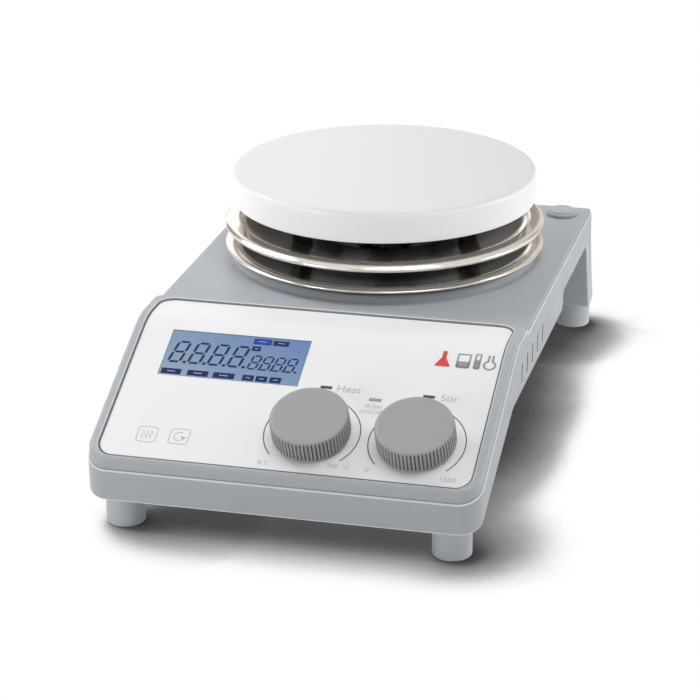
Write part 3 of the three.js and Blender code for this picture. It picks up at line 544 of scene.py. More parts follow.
def zinc_material():
    nodes = brushed("zinc_plated_steel", (176, 178, 181), 0.32)
    # painted shade: the plated studs are painted nearly black where they are hemmed in
    paint_light_and_shade_in_corners(nodes, 0.03, (26, 24, 22), 0.1, 0.6)
    return nodes.material


def moulded(name, colour, corner, roughness, grain_depth=0.03):
    """Fine-textured moulded plastic with painted light: upward faces are painted a lighter colour in corners,
    where shade would fall.
    """
    nodes = surface(name, colour, roughness, mottle=0.012, grain=2400, grain_depth=grain_depth)
    paint_light_and_shade_in_corners(nodes, 0.05, corner, 0.1, 0.9, only_upward=True)
    return nodes.material


def plate_material():
    """Smooth white coating; painted light: the upright side is painted a little whiter than the top."""
    nodes = surface("plate_ceramic", PLATE_TOP_WHITE, 0.36, mottle=0.004, grain=900, grain_depth=0.004,
                    rough_spread=0.01, coat=0.1)
    up = nodes.span(nodes.upward(), 0.0, 1.0, 0.2, 0.9)
    nodes.look(Base_Color=nodes.mix(up, linear(PLATE_SIDE_PAINTED_LIGHT), nodes.base()))
    return nodes.material


def board_material():
    """Green board with paler tracks."""
    nodes = surface("circuit_board", (38, 92, 58), 0.35, mottle=0.06)
    track = nodes.math("LESS_THAN", nodes.cells(220, feature="DISTANCE_TO_EDGE"), 0.05)
    nodes.look(Base_Color=nodes.mix(track, nodes.base(), linear((66, 128, 84))))
    return nodes.material


def fibre_material():
    nodes = surface("ceramic_fibre", (228, 222, 208), 0.9, grain=500, grain_depth=0.25, specular=0.2)
    nodes.bump(nodes.streaks((1500, 240, 900), 5), 0.6, 0.15 * MM)
    return nodes.material


def window_material():
    """Clear hard-coated sheet: see-through, with the room mirrored in its face."""
    nodes = Paint("clear_window")
    nodes.look(Base_Color=linear((238, 244, 250)), Roughness=nodes.span(nodes.noise(70, 3), 0.03, 0.09))
    nodes.bump(nodes.noise(300, 1), 0.05, 0.01 * MM)
    clear = nodes.add("ShaderNodeBsdfTransparent", {"Color": (0.97, 0.98, 1.0, 1.0)})
    gloss = nodes.add("ShaderNodeFresnel", {"IOR": 1.2})
    share = nodes.math("MINIMUM", gloss.outputs["Fac"], 0.5)
    nodes.blend(share, clear.outputs["BSDF"], nodes.shader.outputs["BSDF"])
    return nodes.material


def backlight_material():
    """Lit blue face of the display: paler low down on the left, deeper blue towards the upper right."""
    nodes = Paint("display_backlight")
    low, high = (TO_FRAME @ PANEL @ Vector((*WINDOW[i::2], 0)) for i in (0, 1))
    x, _, z = nodes.parts(nodes.place)
    along = nodes.math("ADD", nodes.span(x, 0, 1, low.x, high.x), nodes.span(z, 0, 1, low.z, high.z))
    drift = nodes.span(nodes.noise(60, 3), -0.12, 0.12)
    cloud = nodes.math("ADD", nodes.math("MULTIPLY", along, 0.5), drift)
    tint = nodes.mix(cloud, linear((136, 154, 162)), linear((94, 120, 161)))
    tint = nodes.mix(nodes.math("MULTIPLY", nodes.cells(1500), 0.08), tint, linear((90, 120, 170)))
    nodes.look(Base_Color=tint, Emission_Color=tint, Emission_Strength=0.3, Roughness=0.5,
               Specular_IOR_Level=0.0)
    return nodes.material


def ink(name, colour, glow=0.0, specular=0.3):
    nodes = surface(name, colour, 0.45, mottle=0.03, grain=3000, grain_depth=0.004, specular=specular)
    nodes.look(Emission_Color=linear(colour), Emission_Strength=glow)
    return nodes.material


def plain(name, colour, roughness, **settings):
    return surface(name, colour, roughness, **settings).material


PAINTS = {
    # the second colour of a moulded paint is painted light, put on in its corners
    "housing": moulded("housing_plastic", (158, 163, 168), (196, 201, 207), 0.42),
    "cover": plain("cover_plastic", (128, 132, 136), 0.5, grain=2200, grain_depth=0.04),
    "rod_plug": plain("plug_plastic", (162, 166, 169), 0.45, grain=2200),
    "knob": plain("knob_plastic", (144, 146, 147), 0.5, mottle=0.012, grain=2600),
    "label": moulded("label_film", (219, 219, 220), (250, 250, 250), 0.42, 0.008),
    "display_window": window_material(),
    "display_module": plain("module_frame", (44, 48, 56), 0.5),
    "board": board_material(),
    "lamp": plain("smoked_lamp", (70, 70, 70), 0.18, grain=1200, grain_depth=0.004),
    "black_plastic": plain("black_plastic", (30, 31, 33), 0.38, mottle=0.06, grain=2000, grain_depth=0.03),
    "foot": moulded("foot_rubber", (172, 176, 182), (206, 210, 216), 0.55, 0.04),
    "plate": plate_material(),
    "polished_steel": polished_material(),
    "zinc_steel": zinc_material(),
    "rotor": spun("turned_aluminium", (190, 192, 195), 0.28, line_depth=0.01).material,
    "magnet": plain("nickel_plate", (120, 122, 126), 0.22, metallic=1.0, mottle=0.04),
    "heater": plain("cast_heater", (140, 132, 122), 0.6, metallic=0.6, mottle=0.08, grain=700,
                    grain_depth=0.2),
    "fibre": fibre_material(),
    "brass": brushed("turned_brass", (186, 156, 92), 0.28).material,
}
# painted highlight: the rounded edges of both housing halves are painted lighter than the faces, for the
# light they catch
HOUSING_EDGE_HIGHLIGHT = plain("housing_edge_painted_highlight", (205, 208, 211), 0.3, mottle=0.012, grain=2400,
                     grain_depth=0.01)
PRINT_GREY = ink("print_grey", (176, 177, 179))
VESSEL_GREY = ink("vessel_grey", (140, 142, 146))
PRINT_DARK = ink("print_dark", (88, 90, 93))
# painted shade: the dark band at the foot of the label's rim
LABEL_EDGE_SHADE_GREY = ink("label_edge_shade_grey", (104, 107, 110))
SMOKED_PALE = ink("pale_lamp", (150, 151, 152))
PRINT_RED = ink("print_red", (205, 62, 58))
LCD_DARK = ink("lcd_segment", (14, 16, 78), 0.05, 0.0)
LCD_BRIGHT = ink("lcd_flag", (20, 60, 150), 0.25, 0.0)
LCD_PALE = ink("lcd_flag_centre", (120, 150, 205), 0.3, 0.0)
BACKLIGHT = backlight_material()

for row in frame["record"]["subparts"]:
    node = frame["nodes"][row["node"]]
    node.data.materials.clear()
    node.data.materials.append(PAINTS[row["material_slot"]])


# ---------- height lines ----------
def height_line(points):
    """Straight lines through (position, height) points, level beyond the ends."""
    def height(position):
        if position <= points[0][0]:
            return points[0][1]
        for (p0, h0), (p1, h1) in zip(points, points[1:]):
            if position <= p1:
                return h0 + (h1 - h0) * (position - p0) / (p1 - p0)
        return points[-1][1]
    return height


def label_surface(y):
    """Height of the label: the slope, a curved bend and the level end."""
    slope = math.tan(PANEL_SLOPE)
    start = BEND_Y - BEND_REACH
    if y <= start:
        return PANEL_FRONT.z + (y - PANEL_FRONT.y) * slope
    if y >= BEND_Y + BEND_REACH:
        return PANEL_FLAT_Z
    eased = (y - start) ** 2 / (4 * BEND_REACH)
    return PANEL_FRONT.z + (y - PANEL_FRONT.y - eased) * slope


seam_line = height_line([
    (FRONT_Y, SEAM_FRONT_Z), (SEAM_BEND[0] - 3, SEAM_BEND[1] - 1.1), (SEAM_BEND[0] + 3, SEAM_BEND[1]),
    (PANEL_END_Y - 0.5, SEAM_BEND[1]), (PANEL_END_Y + 0.5, DECK_SEAM),
])


def panel_top(y):
    return max(label_surface(y) + PANEL_RIM, seam_line(y) + 1.5)


# ---------- bodies through stacked rings ----------
def corner_point(cx, cy, radius, angle):
    nx, ny = math.cos(angle), math.sin(angle)
    return (cx + radius * nx, cy + radius * ny, nx, ny)


def half_outline(half_width, front, rear, front_radius, rear_radius, stations, steps=12):
    """Right half of a rounded rectangle, front middle to rear middle, as (x, y, normal x, normal y)."""
    points = []
    for i in range(steps + 1):
        angle = -math.pi / 2 + i * math.pi / 2 / steps
        points.append(corner_point(half_width - front_radius, front + front_radius, front_radius, angle))
    low, high = front + front_radius, rear - rear_radius
    points += [(half_width, y, 1, 0) for y in stations if low + 0.1 < y < high - 0.1]
    for i in range(steps + 1):
        angle = i * math.pi / 2 / steps
        points.append(corner_point(half_width - rear_radius, rear - rear_radius, rear_radius, angle))
    return points


def stacked(outline, rings):
    """Closed body through rings, top first; a ring is (inset at a point, height at y)."""
    count = len(outline)
    verts, faces = [], []
    for inset, height in rings:
        for side in (1, -1):
            for x, y, nx, ny in outline:
                inset_x, inset_y = inset(y, ny)
                at_y = y - ny * inset_y
                verts.append((side * (x - nx * inset_x), at_y, height(at_y)))

    def at(ring, side, i):
        return (ring * 2 + side) * count + i

    last = len(rings) - 1
    for i in range(count - 1):
        faces.append([at(0, 1, i), at(0, 0, i), at(0, 0, i + 1), at(0, 1, i + 1)])
        faces.append([at(last, 0, i), at(last, 1, i), at(last, 1, i + 1), at(last, 0, i + 1)])
        for k in range(last):
            faces.append([at(k + 1, 0, i), at(k + 1, 0, i + 1), at(k, 0, i + 1), at(k, 0, i)])
            faces.append([at(k + 1, 1, i + 1), at(k + 1, 1, i), at(k, 1, i), at(k, 1, i + 1)])
    for k in range(last):
        faces.append([at(k + 1, 1, 0), at(k + 1, 0, 0), at(k, 0, 0), at(k, 1, 0)])
        end = count - 1
        faces.append([at(k + 1, 0, end), at(k + 1, 1, end), at(k, 1, end), at(k, 0, end)])
    return mesh_from(verts, faces)


def steps_between(start, end, count):
    return [start + (end - start) * i / count for i in range(count + 1)]


SIDE_STATIONS = sorted([
    *steps_between(-165, BEND_Y - BEND_REACH, 4),
    *steps_between(BEND_Y - BEND_REACH, BEND_Y + BEND_REACH, 10)[1:],
    -96, -90, -85, PANEL_END_Y - 0.5, PANEL_END_Y + 0.5, -60, -20, 20, 60,
])


def even(distance):
    return lambda y, ny: (distance, distance)


def rounding_rings(top, bottom, width, depth, steps=7, inset=SEAM_INSET):
    """Rings of a top edge that is rounded over width by depth, then a straight side down to the bottom."""
    def fall(y):
        return min(depth, 0.8 * (top(y) - bottom(y)))

    rings = []
    for k in range(steps + 1):
        angle = k / steps * math.pi / 2
        share = 1 - math.cos(angle)
        reach = inset + width * (1 - math.sin(angle))
        rings.append((even(reach), lambda y, share=share: top(y) - share * fall(y)))
    rings.append((even(inset), bottom))
    return rings


def housing_outline(inset=0.0, front=FRONT_Y, front_corner=FRONT_CORNER, rear=REAR_Y,
                    rear_corner=REAR_CORNER):
    return half_outline(HALF_WIDTH - inset, front + inset, rear - inset, front_corner - inset,
                        rear_corner - inset / 2, SIDE_STATIONS)


# ---------- lid ----------
def label_outline(inset, front_inset=0.0):
    corner = LABEL_CORNER - inset
    front = PANEL_FRONT.y + (front_inset or inset)
    return half_outline(LABEL_HALF_WIDTH - inset, front, LABEL_END_Y - inset, corner, corner, SIDE_STATIONS)


def label_bed(inset, below, above):
    return stacked(label_outline(inset), [
        (even(0), lambda y: label_surface(y) + above), (even(0), lambda y: label_surface(y) - below)])


def panel_block(x0, x1, y0, y1, z0, z1):
    return placed(block(x0, x1, y0, y1, z0, z1), PANEL)


def panel_openings(depth):
    """Cutters for the knob shafts and the lamps."""
    openings = [placed(rod(KNOB_BORE, -depth, 3, x, y, 32), PANEL) for x, y in KNOBS.values()]
    half_width, half_height = (size / 2 + GAP / 2 for size in LAMP_SIZE)
    for x, y in LAMPS.values():
        sides = (x - half_width, x + half_width, y - half_height, y + half_height)
        openings.append(panel_block(*sides, -depth, 3))
    return openings


def deck_bottom(y):
    return min(seam_line(y), DECK_Z - 1)


def lid_top(y):
    return panel_top(y) if y < PANEL_END_Y else DECK_Z


def upper_housing():
    deck = stacked(housing_outline(front=PANEL_END_Y - 0.5, front_corner=1.4),
                   rounding_rings(lambda y: DECK_Z, deck_bottom, 1.2, 0.8))
    panel = stacked(housing_outline(rear=PANEL_END_Y, rear_corner=5),
                    rounding_rings(panel_top, seam_line, 1.2, 1.3))
    side = HALF_WIDTH - WALL - 0.2
    bridge = block(-side, side, -97, PANEL_END_Y + 4, 58, DECK_Z - 0.15)
    boss = lathe(rounded([
        (0, DECK_Z - 1), (BOSS_RADIUS, DECK_Z - 1), (BOSS_RADIUS, DECK_Z + 0.05),
        (BOSS_RADIUS - 0.8, DECK_Z + 0.4, 0.4), (BOSS_RADIUS - 2.4, BOSS_TOP, 1.2), (0, BOSS_TOP)]))
    hollow = stacked(housing_outline(WALL), [
        (even(1.5), lambda y: min(lid_top(y), label_surface(y)) - LABEL_SHEET - WALL),
        (even(0), lambda y: seam_line(y) - 8)])
    x0, x1, y0, y1 = WINDOW
    ledge = WINDOW_LEDGE
    shell = join(deck, panel, bridge, boss)
    return tidy_faces(cut(
        shell, hollow, label_bed(0, LABEL_SHEET, 9),
        rod(BOSS_OPENING, DECK_Z - 6, BOSS_TOP + 1), rod(ROD_BORE, DECK_Z - 6, DECK_Z + 2, *ROD_HOLE),
        panel_block(x0 - GAP, x1 + GAP, y0 - GAP, y1 + GAP, -WINDOW_DEPTH, 2),
        panel_block(x0 + ledge, x1 - ledge, y0 + ledge, y1 - ledge, -6, 2),
        *panel_openings(8)))


def lid_edge_width(point):
    if point.z > DECK_Z + 1.6 and abs(point.x) < BOSS_RADIUS and point.y > PANEL_END_Y + 10:
        return 0.0
    rim = label_surface(point.y) + PANEL_RIM
    on_rim = rim + 0.3 > point.z > rim - 0.35 and point.y < PANEL_END_Y
    return RIM_EDGE if on_rim else 0.0


piece("upper_housing_shell", rounded_edges(upper_housing(), lid_edge_width), "housing", ["upper_housing"],
      edge_paint=HOUSING_EDGE_HIGHLIGHT)


# ---------- lower half ----------
def wall_inset(depth):
    """Walls lean in a little towards the bottom, and out at the back."""
    return lambda y, ny: (depth * SIDE_LEAN, depth * (-REAR_RAKE if ny > 0 else FRONT_LEAN))


def lower_body(inset, lift):
    rings = [(wall_inset(depth), lambda y, depth=depth: seam_line(min(y, REAR_Y)) - GAP - depth)
             for depth in (-lift, 16, 58)]
    return stacked(housing_outline(inset), rings)


def below_underside(lift):
    """Everything under the underside; its sharp inner corners are eased."""
    low, front = -60, -230
    front_z = MID_FLOOR + (front - UNDERSIDE_BEND_Y) * UNDERSIDE_RISE
    outline = rounded([
        (front, low), (140, low), (140, LEG_BOTTOM + lift), (88 + lift, LEG_BOTTOM + lift, 1.2),
        (74 + lift, REAR_FLOOR + lift, 4), (FLOOR_STEP_Y, REAR_FLOOR + lift, 1.5),
        (FLOOR_STEP_Y - 1.5, MID_FLOOR + lift, 1.5), (UNDERSIDE_BEND_Y, MID_FLOOR + lift, 3),
        (front, front_z + lift),
    ], closed=True)
    return across_x(outline, -HALF_WIDTH - 20, HALF_WIDTH + 20)


BACK_ANGLE = math.atan(REAR_RAKE)
BACK = Matrix(((-1, 0, 0, 0), (0, -math.sin(BACK_ANGLE), math.cos(BACK_ANGLE), REAR_Y),
               (0, math.cos(BACK_ANGLE), math.sin(BACK_ANGLE), DECK_SEAM), (0, 0, 0, 1)))
BACK_OPENINGS = ((30, 27, 27, 26), (-5, 27, 13, 19), (-30, 20, 10, 10), (-36, 37, 16, 9))
COVER_OPENING = (  # y and z reach of the opening in the underside, step by step down the rear legs
    (-99.9, REAR_Y - 11, MID_FLOOR - 2, REAR_FLOOR + 3.5), (70, 86.5, 30, REAR_FLOOR + 3.5),
    (70, 92, LEG_BOTTOM + WALL, 36),
)


def vent_slots():
    slots = []
    for i in range(VENT["count"]):
        y = VENT["first_y"] + i * VENT["pitch"] - VENT["width"] / 2
        for x0 in (-HALF_WIDTH - 5, HALF_WIDTH - 8):
            slots.append(block(x0, x0 + 13, y, y + VENT["width"], VENT["z0"], VENT["z1"]))
    return slots


def back_windows():
    windows = []
    for x, drop, width, height in BACK_OPENINGS:
        half_width, half_height = width / 2 + GAP, height / 2 + GAP
        window = block(-x - half_width, -x + half_width, -drop - half_height, -drop + half_height, -9, 3)
        windows.append(placed(window, BACK))
    return windows


def lower_housing():
    shell = cut(lower_body(0, 0), below_underside(0), cut(lower_body(WALL, 6), below_underside(WALL)))
    side = COVER_HALF_WIDTH + GAP
    openings = [block(-side, side, *reach) for reach in COVER_OPENING] + vent_slots() + back_windows()
    bosses, holes = [], []
    for spot in FEET.values():
        boss_top, hole_top = (22.8, 30) if spot.y < 0 else (19, 19)
        bosses.append(cut(rod(5, LEG_BOTTOM + 1, boss_top, spot.x, spot.y, 32), below_underside(0)))
        holes.append(rod(FOOT_BORE, 2, hole_top, spot.x, spot.y, 32))
    return tidy_faces(cut(join(shell, *bosses), *openings, *holes))


def lower_edge_width(point):
    outside = abs(point.x) > HALF_WIDTH - 12 or point.y < FRONT_Y + 20 or point.y > REAR_Y - 2
    if abs(point.x) < 60 and -100 < point.y < REAR_Y - 8:
        return 0.0
    if VENT["z0"] - 1 < point.z < VENT["z1"] + 1 and -96 < point.y < -40 and abs(point.x) > 70:
        return VENT_EDGE
    top = seam_line(min(point.y, REAR_Y)) - GAP
    if point.z > top - 0.3:
        return SEAM_EDGE if outside else 0.0
    return LOWER_EDGE if outside and point.z > 3 else 0.0


piece("lower_housing_shell", rounded_edges(lower_housing(), lower_edge_width), "housing", ["lower_housing"],
      edge_paint=HOUSING_EDGE_HIGHLIGHT)


# ---------- feet and plug ----------
def foot(spot):
    body = lathe(rounded([(0, 0), (FOOT_RADIUS, 0, 1.1), (FOOT_RADIUS, 30), (0, 30)]), 96)
    body.transform(Matrix.Translation((spot.x, spot.y, 0)))
    if spot.y < 0:
        trim = placed(below_underside(0), Matrix.Translation((0, 0, -GAP / 3)))
    else:
        trim = block(spot.x - 20, spot.x + 20, spot.y - 20, spot.y + 20, -5, LEG_BOTTOM - GAP / 3)
    body = combine(body, [trim], "INTERSECT")
    recess, depth = FOOT_RECESS
    bore = rod(FOOT_BORE, -1, 30, spot.x, spot.y)
    return tidy_faces(cut(body, bore, rod(recess, -1, depth, spot.x, spot.y)))


for name, spot in FEET.items():
    piece(f"foot_{name}_turned", foot(spot), "foot", [f"foot_{name}"])


def rod_hole_cap():
    """Plug of the support-rod hole, drawn on the deck: stem below, broad brim and shallow crown above."""
    return lathe(rounded([
        (0, -9), (4.4, -9, 0.4), (5.1, -8, 0.4), (5.1, 0.2), (7.2, 0.2, 0.2), (7.2, 1.5, 0.5),
        (6.4, 1.9, 0.3), (6.2, 2.55, 0.4), (5.2, 2.8, 0.3), (0, 2.8),
    ]), 96)


piece("rod_hole_cap", rod_hole_cap(), "rod_plug", ["rod_hole_plug"], body="rod_plug",
      matrix=Matrix.Translation((*ROD_HOLE, DECK_Z)))


# ---------- label ----------
def panel_label():
    x0, x1, y0, y1 = WINDOW
    ease = GAP / 2
    window = panel_block(x0 - ease, x1 + ease, y0 - ease, y1 + ease, -3, 2)
    return tidy_faces(cut(label_bed(0.25, LABEL_SHEET - 0.05, 0), window, *panel_openings(3)))


def label_edge_painted_shade():
    """Painted shade: a dark band all round the label in the foot of the rim, standing in for the shadow at
    the rim.
    """
    band = stacked(label_outline(0.28), [
        (even(0), lambda y: label_surface(y) + 0.05), (even(0), lambda y: label_surface(y) - 0.02)])
    inner = stacked(label_outline(0.8, 1.45), [
        (even(0), lambda y: label_surface(y) + 1), (even(0), lambda y: label_surface(y) - 1)])
    return cut(band, inner)


piece("label_sheet", panel_label(), "label", ["panel_label"])
piece("label_edge_painted_shade", label_edge_painted_shade(), "label", paint=LABEL_EDGE_SHADE_GREY)


# ---------- printing on the label ----------
PRINT_LIFT = 0.03
PRINT_DEPTH = 0.03
HEAT_SIGN = (-58.1, 13.9)
STIR_SIGN = (-44.7, 14.3)
WORDS = [  # text, size, place on the panel, which end stands there
    ("Heat", 5.2, 12.6, 46.3, "LEFT"), ("Stir", 5.2, 55.6, 46.2, "LEFT"),
    ("PUSH", 2.9, 29.7, 38.8, "CENTER"), ("ON/OFF", 2.9, 29.7, 35.8, "CENTER"),
    ("RT", 3.4, -9.8, 3.8, "LEFT"), ("340", 2.9, 20.1, 5.7, "CENTER"), ("°C", 2.8, 24.4, 5.5, "LEFT"),
    ("0", 3.4, 34.4, 5.2, "CENTER"), ("1500", 3.4, 66.9, 4.0, "CENTER"),
]


def flat_parts(outlines, z=PRINT_LIFT, depth=PRINT_DEPTH):
    """One mesh of thin flat parts, each from its own outline, standing on z."""
    verts, faces = [], []
    for outline in outlines:
        base, count = len(verts), len(outline)
        verts += [(x, y, h) for h in (z, z + depth) for x, y in outline]
        faces.append([base + i for i in range(count)][::-1])
        faces.append([base + count + i for i in range(count)])
        for i in range(count):
            j = (i + 1) % count
            faces.append([base + i, base + j, base + count + j, base + count + i])
    return mesh_from(verts, faces)


def stroke(points, width, closed=False):
    """Outlines of a line of even width along points, one for each stretch so that bends stay clean."""
    result = []
    points = [Vector(p) for p in points]
    if closed:
        points.append(points[0])
    sides = []
    for i, point in enumerate(points):
        before = points[i] - points[i - 1] if i > 0 else points[1] - points[0]
        after = points[i + 1] - points[i] if i < len(points) - 1 else before
        if closed and i in (0, len(points) - 1):
            before, after = points[-1] - points[-2], points[1] - points[0]
        along = (before.normalized() + after.normalized()).normalized()
        across = Vector((-along.y, along.x)) * width / 2
        sides.append((point + across, point - across))
    for (a0, b0), (a1, b1) in zip(sides, sides[1:]):
        result.append([tuple(a0), tuple(b0), tuple(b1), tuple(a1)])
    return result


def arc(cx, cy, radius, start, end, steps=48):
    return [(cx + radius * math.cos(math.radians(a)), cy + radius * math.sin(math.radians(a)))
            for a in steps_between(start, end, steps)]


def rectangle(x0, x1, y0, y1):
    return [(x0, y0), (x1, y0), (x1, y1), (x0, y1)]


def words(text, size, x, y, align):
    """Text as a mesh lying on the panel, with its left end or its middle at x."""
    curve = bpy.data.curves.new("work_text", "FONT")
    curve.body = text
    curve.size = size
    curve.align_x = align
    curve.extrude = PRINT_DEPTH / 2
    curve.resolution_u = 4
    host = bpy.data.objects.new("work_text", curve)
    bpy.context.scene.collection.objects.link(host)
    evaluated = host.evaluated_get(bpy.context.evaluated_depsgraph_get())
    mesh = bpy.data.meshes.new_from_object(evaluated)
    bpy.data.objects.remove(host)
    mesh.transform(Matrix.Translation((x, y, PRINT_LIFT + PRINT_DEPTH / 2)))
    return mesh


def merged(meshes):
    bm = bmesh.new()
    for mesh in meshes:
        bm.from_mesh(mesh)
    result = bpy.data.meshes.new("work")
    bm.to_mesh(result)
    bm.free()
    return result


def on_panel(name, mesh, paint, slot="label"):
    return piece(name, mesh, slot, paint=paint, matrix=PANEL)


def dial_scales():
    outlines = []
    for x, y in KNOBS.values():
        outlines += stroke(arc(x, y + 0.4, SCALE_RADIUS, *SCALE_ENDS, 90), 0.45)
    return flat_parts(outlines)


def eased_box(x0, x1, y0, y1, corner, ease_top=True):
    """Rectangle with eased corners, at the bottom only if wanted."""
    top = (corner,) if ease_top else ()
    return rounded([(x0, y0, corner), (x1, y0, corner), (x1, y1, *top), (x0, y1, *top)], True)


def pictograms():
    """Two plain pictograms in rounded frames: rising heat and a stirring arrow."""
    outlines = []
    for cx, cy in (HEAT_SIGN, STIR_SIGN):
        outlines += stroke(eased_box(cx - 4, cx + 4, cy - 4, cy + 4, 1.6), 0.35, True)
    cx, cy = HEAT_SIGN
    for offset in (-1.8, 0, 1.8):
        wave = [(cx + offset + 0.45 * math.sin(t * 1.9), cy + t) for t in steps_between(-2.2, 2.2, 14)]
        outlines += stroke(wave, 0.35)
    cx, cy = STIR_SIGN
    outlines += stroke(arc(cx, cy, 2.2, 60, 340, 30), 0.4)
    outlines.append([(cx + 1.3, cy - 1.6), (cx + 3.1, cy - 0.4), (cx + 0.8, cy + 0.4)])
    return flat_parts(outlines)


def flask():
    """Filled flask with a conical body."""
    return flat_parts([rounded([
        (49.2, 65.2, 0.8), (56.0, 65.2, 0.8), (53.5, 70.2), (53.5, 73.8), (51.7, 73.8), (51.7, 70.2),
    ], True)])


def vessels():
    """Half-full beaker and cylinder, and a round flask with a neck, in outline."""
    outlines = stroke(eased_box(58.4, 63.4, 65.5, 72.8, 0.9, False), 0.9, True)
    outlines += stroke(eased_box(65.6, 67.6, 65.5, 73.4, 0.5, False), 0.9, True)
    outlines += [rectangle(58.4, 63.4, 65.5, 68.8), rectangle(65.6, 67.6, 65.5, 70.2)]
    outlines += stroke(arc(71.8, 67.8, 2.3, 112, 428, 30), 0.9)
    outlines += [rectangle(70.5, 71.4, 69.7, 73.4), rectangle(72.2, 73.1, 69.7, 73.4)]
    return flat_parts(outlines)


on_panel("printed_dial_scales", dial_scales(), PRINT_DARK)
on_panel("printed_words", merged([words(*row) for row in WORDS]), PRINT_GREY)
on_panel("printed_pictograms", pictograms(), PRINT_GREY)
on_panel("printed_flask", flask(), PRINT_RED)
on_panel("printed_vessels", vessels(), VESSEL_GREY)


# ---------- display ----------
LCD_TOP = -0.42
LCD_ROWS = (  # x of the first digit, pitch, y, width, height, slant, width of a bar
    (-61.0, 8.45, 55.2, 4.9, 11.4, 0.19, 1.1), (-27.0, 5.15, 54.8, 3.4, 7.4, 0.2, 0.8))
LCD_FRAME = (-27.6, -20.4, 69.0, 71.8)
LCD_LIT_FLAG = (-27.4, -20.6, 69.2, 71.6)
LCD_DARK_FLAGS = ((-19.4, -12.8, 68.8, 71.6), (-27.6, -23.9, 64.9, 67.6))
LCD_LOW_FLAGS = (
    (-62.3, -53.8), (-51.1, -42.2), (-40.1, -31.0), (-27.6, -22.8), (-21.9, -17.1), (-16.0, -11.2))
LCD_MARKS = ((-25.9, -22.4, 70.2, 70.6), (-17.6, -14.6, 70.1, 70.5), (-26.4, -25.1, 66.0, 66.5))


def window_sheet():
    return rounded_edges(block(*WINDOW, -0.28, -0.05), lambda point: 0.08)


def pointed_bar(start, end, width):
    """Outline of a straight bar with pointed ends."""
    start, end = Vector(start), Vector(end)
    along = (end - start).normalized() * width / 2
    across = Vector((-along.y, along.x))
    lower = [start + along - across, end - along - across]
    upper = [end - along + across, start + along + across]
    return [start, *lower, end, *upper]


def digit(x, y, width, height, slant, bar):
    """Seven lit bars and the point of one leaning digit whose lower left corner is at x, y."""
    half, inner, outer = height / 2, bar * 0.33, bar * 0.28
    shapes = [pointed_bar((inner, level), (width - inner, level), bar) for level in (0, half, height)]
    shapes += [pointed_bar((side, low + outer), (side, low + half - outer), bar)
               for side in (0, width) for low in (0, half)]
    dot = width + bar * 1.9
    shapes.append(rectangle(dot - bar * 0.6, dot + bar * 0.6, -bar * 0.5, bar * 0.7))
    return [[(x + px + slant * py, y + py) for px, py in shape] for shape in shapes]


def lcd_dark():
    parts = []
    for x, pitch, y, *shape in LCD_ROWS:
        for i in range(4):
            parts += digit(x + pitch * i, y, *shape)
    parts += stroke(rectangle(*LCD_FRAME), 0.5, True)
    parts += [rectangle(*flag) for flag in LCD_DARK_FLAGS]
    parts += [rectangle(x0, x1, 48.1, 51.2) for x0, x1 in LCD_LOW_FLAGS]
    return flat_parts(parts, LCD_TOP + 0.02)


def lcd_pale():
    """Pale marks in the middle of the flags."""
    parts = []
    for x0, x1 in LCD_LOW_FLAGS:
        middle, reach = (x0 + x1) / 2, (x1 - x0) * 0.2
        parts.append(rectangle(middle - reach, middle + reach, 49.4, 49.95))
    return flat_parts(parts + [rectangle(*mark) for mark in LCD_MARKS], LCD_TOP + 0.06)


def lcd_face():
    x0, x1, y0, y1 = WINDOW
    return block(x0 - 0.1, x1 + 0.1, y0 - 0.1, y1 + 0.1, LCD_TOP - 0.12, LCD_TOP)


def lamp_lens(x, y):
    width, height = LAMP_SIZE
    lens = block(x - width / 2, x + width / 2, y - height / 2, y + height / 2, -8, 0.05)
    return rounded_edges(lens, lambda point: 0.15 if point.z > -1 else 0.0)


on_panel("lcd_face", lcd_face(), BACKLIGHT, "display_module")
on_panel("lcd_segments", lcd_dark(), LCD_DARK, "display_module")
on_panel("lcd_flag", flat_parts([rectangle(*LCD_LIT_FLAG)], LCD_TOP + 0.02), LCD_BRIGHT, "display_module")
on_panel("lcd_flag_centres", lcd_pale(), LCD_PALE, "display_module")
piece("window_sheet", window_sheet(), "display_window", ["display_window"], matrix=PANEL)
for name, place in LAMPS.items():
    tint = SMOKED_PALE if name == "power_lamp" else None
    piece(f"{name}_lens", lamp_lens(*place), "lamp", [name], paint=tint, matrix=PANEL)


# ---------- knobs ----------
def knob():
    """Knob on z = 0: ribbed side that fades into a rounded shoulder, smooth crown, hollow underneath."""
    top = KNOB_HEIGHT
    profile = [  # radius, height, share of the groove
        (0, top - 2.3, 0), (3.3, top - 2.3, 0), (3.3, 0.3, 0), (5.5, 0.3, 0), (5.5, top - 3.2, 0),
        (13, top - 3.2, 0), (13, 0, 0), (15.5, 0, 0.2), (15.95, 0.25, 0.9), (KNOB_RADIUS, 0.7, 1),
        (KNOB_RADIUS, top / 2, 1), (KNOB_RADIUS - 0.05, top - 1.5, 1), (15.95, top - 1.1, 0.8),
        (15.8, top - 0.75, 0.4), (15.6, top - 0.5, 0.1), (15.3, top - 0.28, 0), (14.9, top - 0.12, 0),
        (14.4, top - 0.03, 0), (13.8, top, 0), (7, top, 0), (0, top, 0),
    ]

    def groove(turn):
        return KNOB_GROOVE * max(0.0, math.cos(turn * KNOB_RIBS)) ** 1.2

    return lathe(profile, KNOB_RIBS * 8, groove)


for name, (x, y) in KNOBS.items():
    seat = PANEL @ Matrix.Translation((x, y, KNOB_LIFT))
    piece(f"{name}_knob_ribbed", knob(), "knob", [f"{name}_knob"], body=f"{name}_dial", smooth=50,
          matrix=seat)


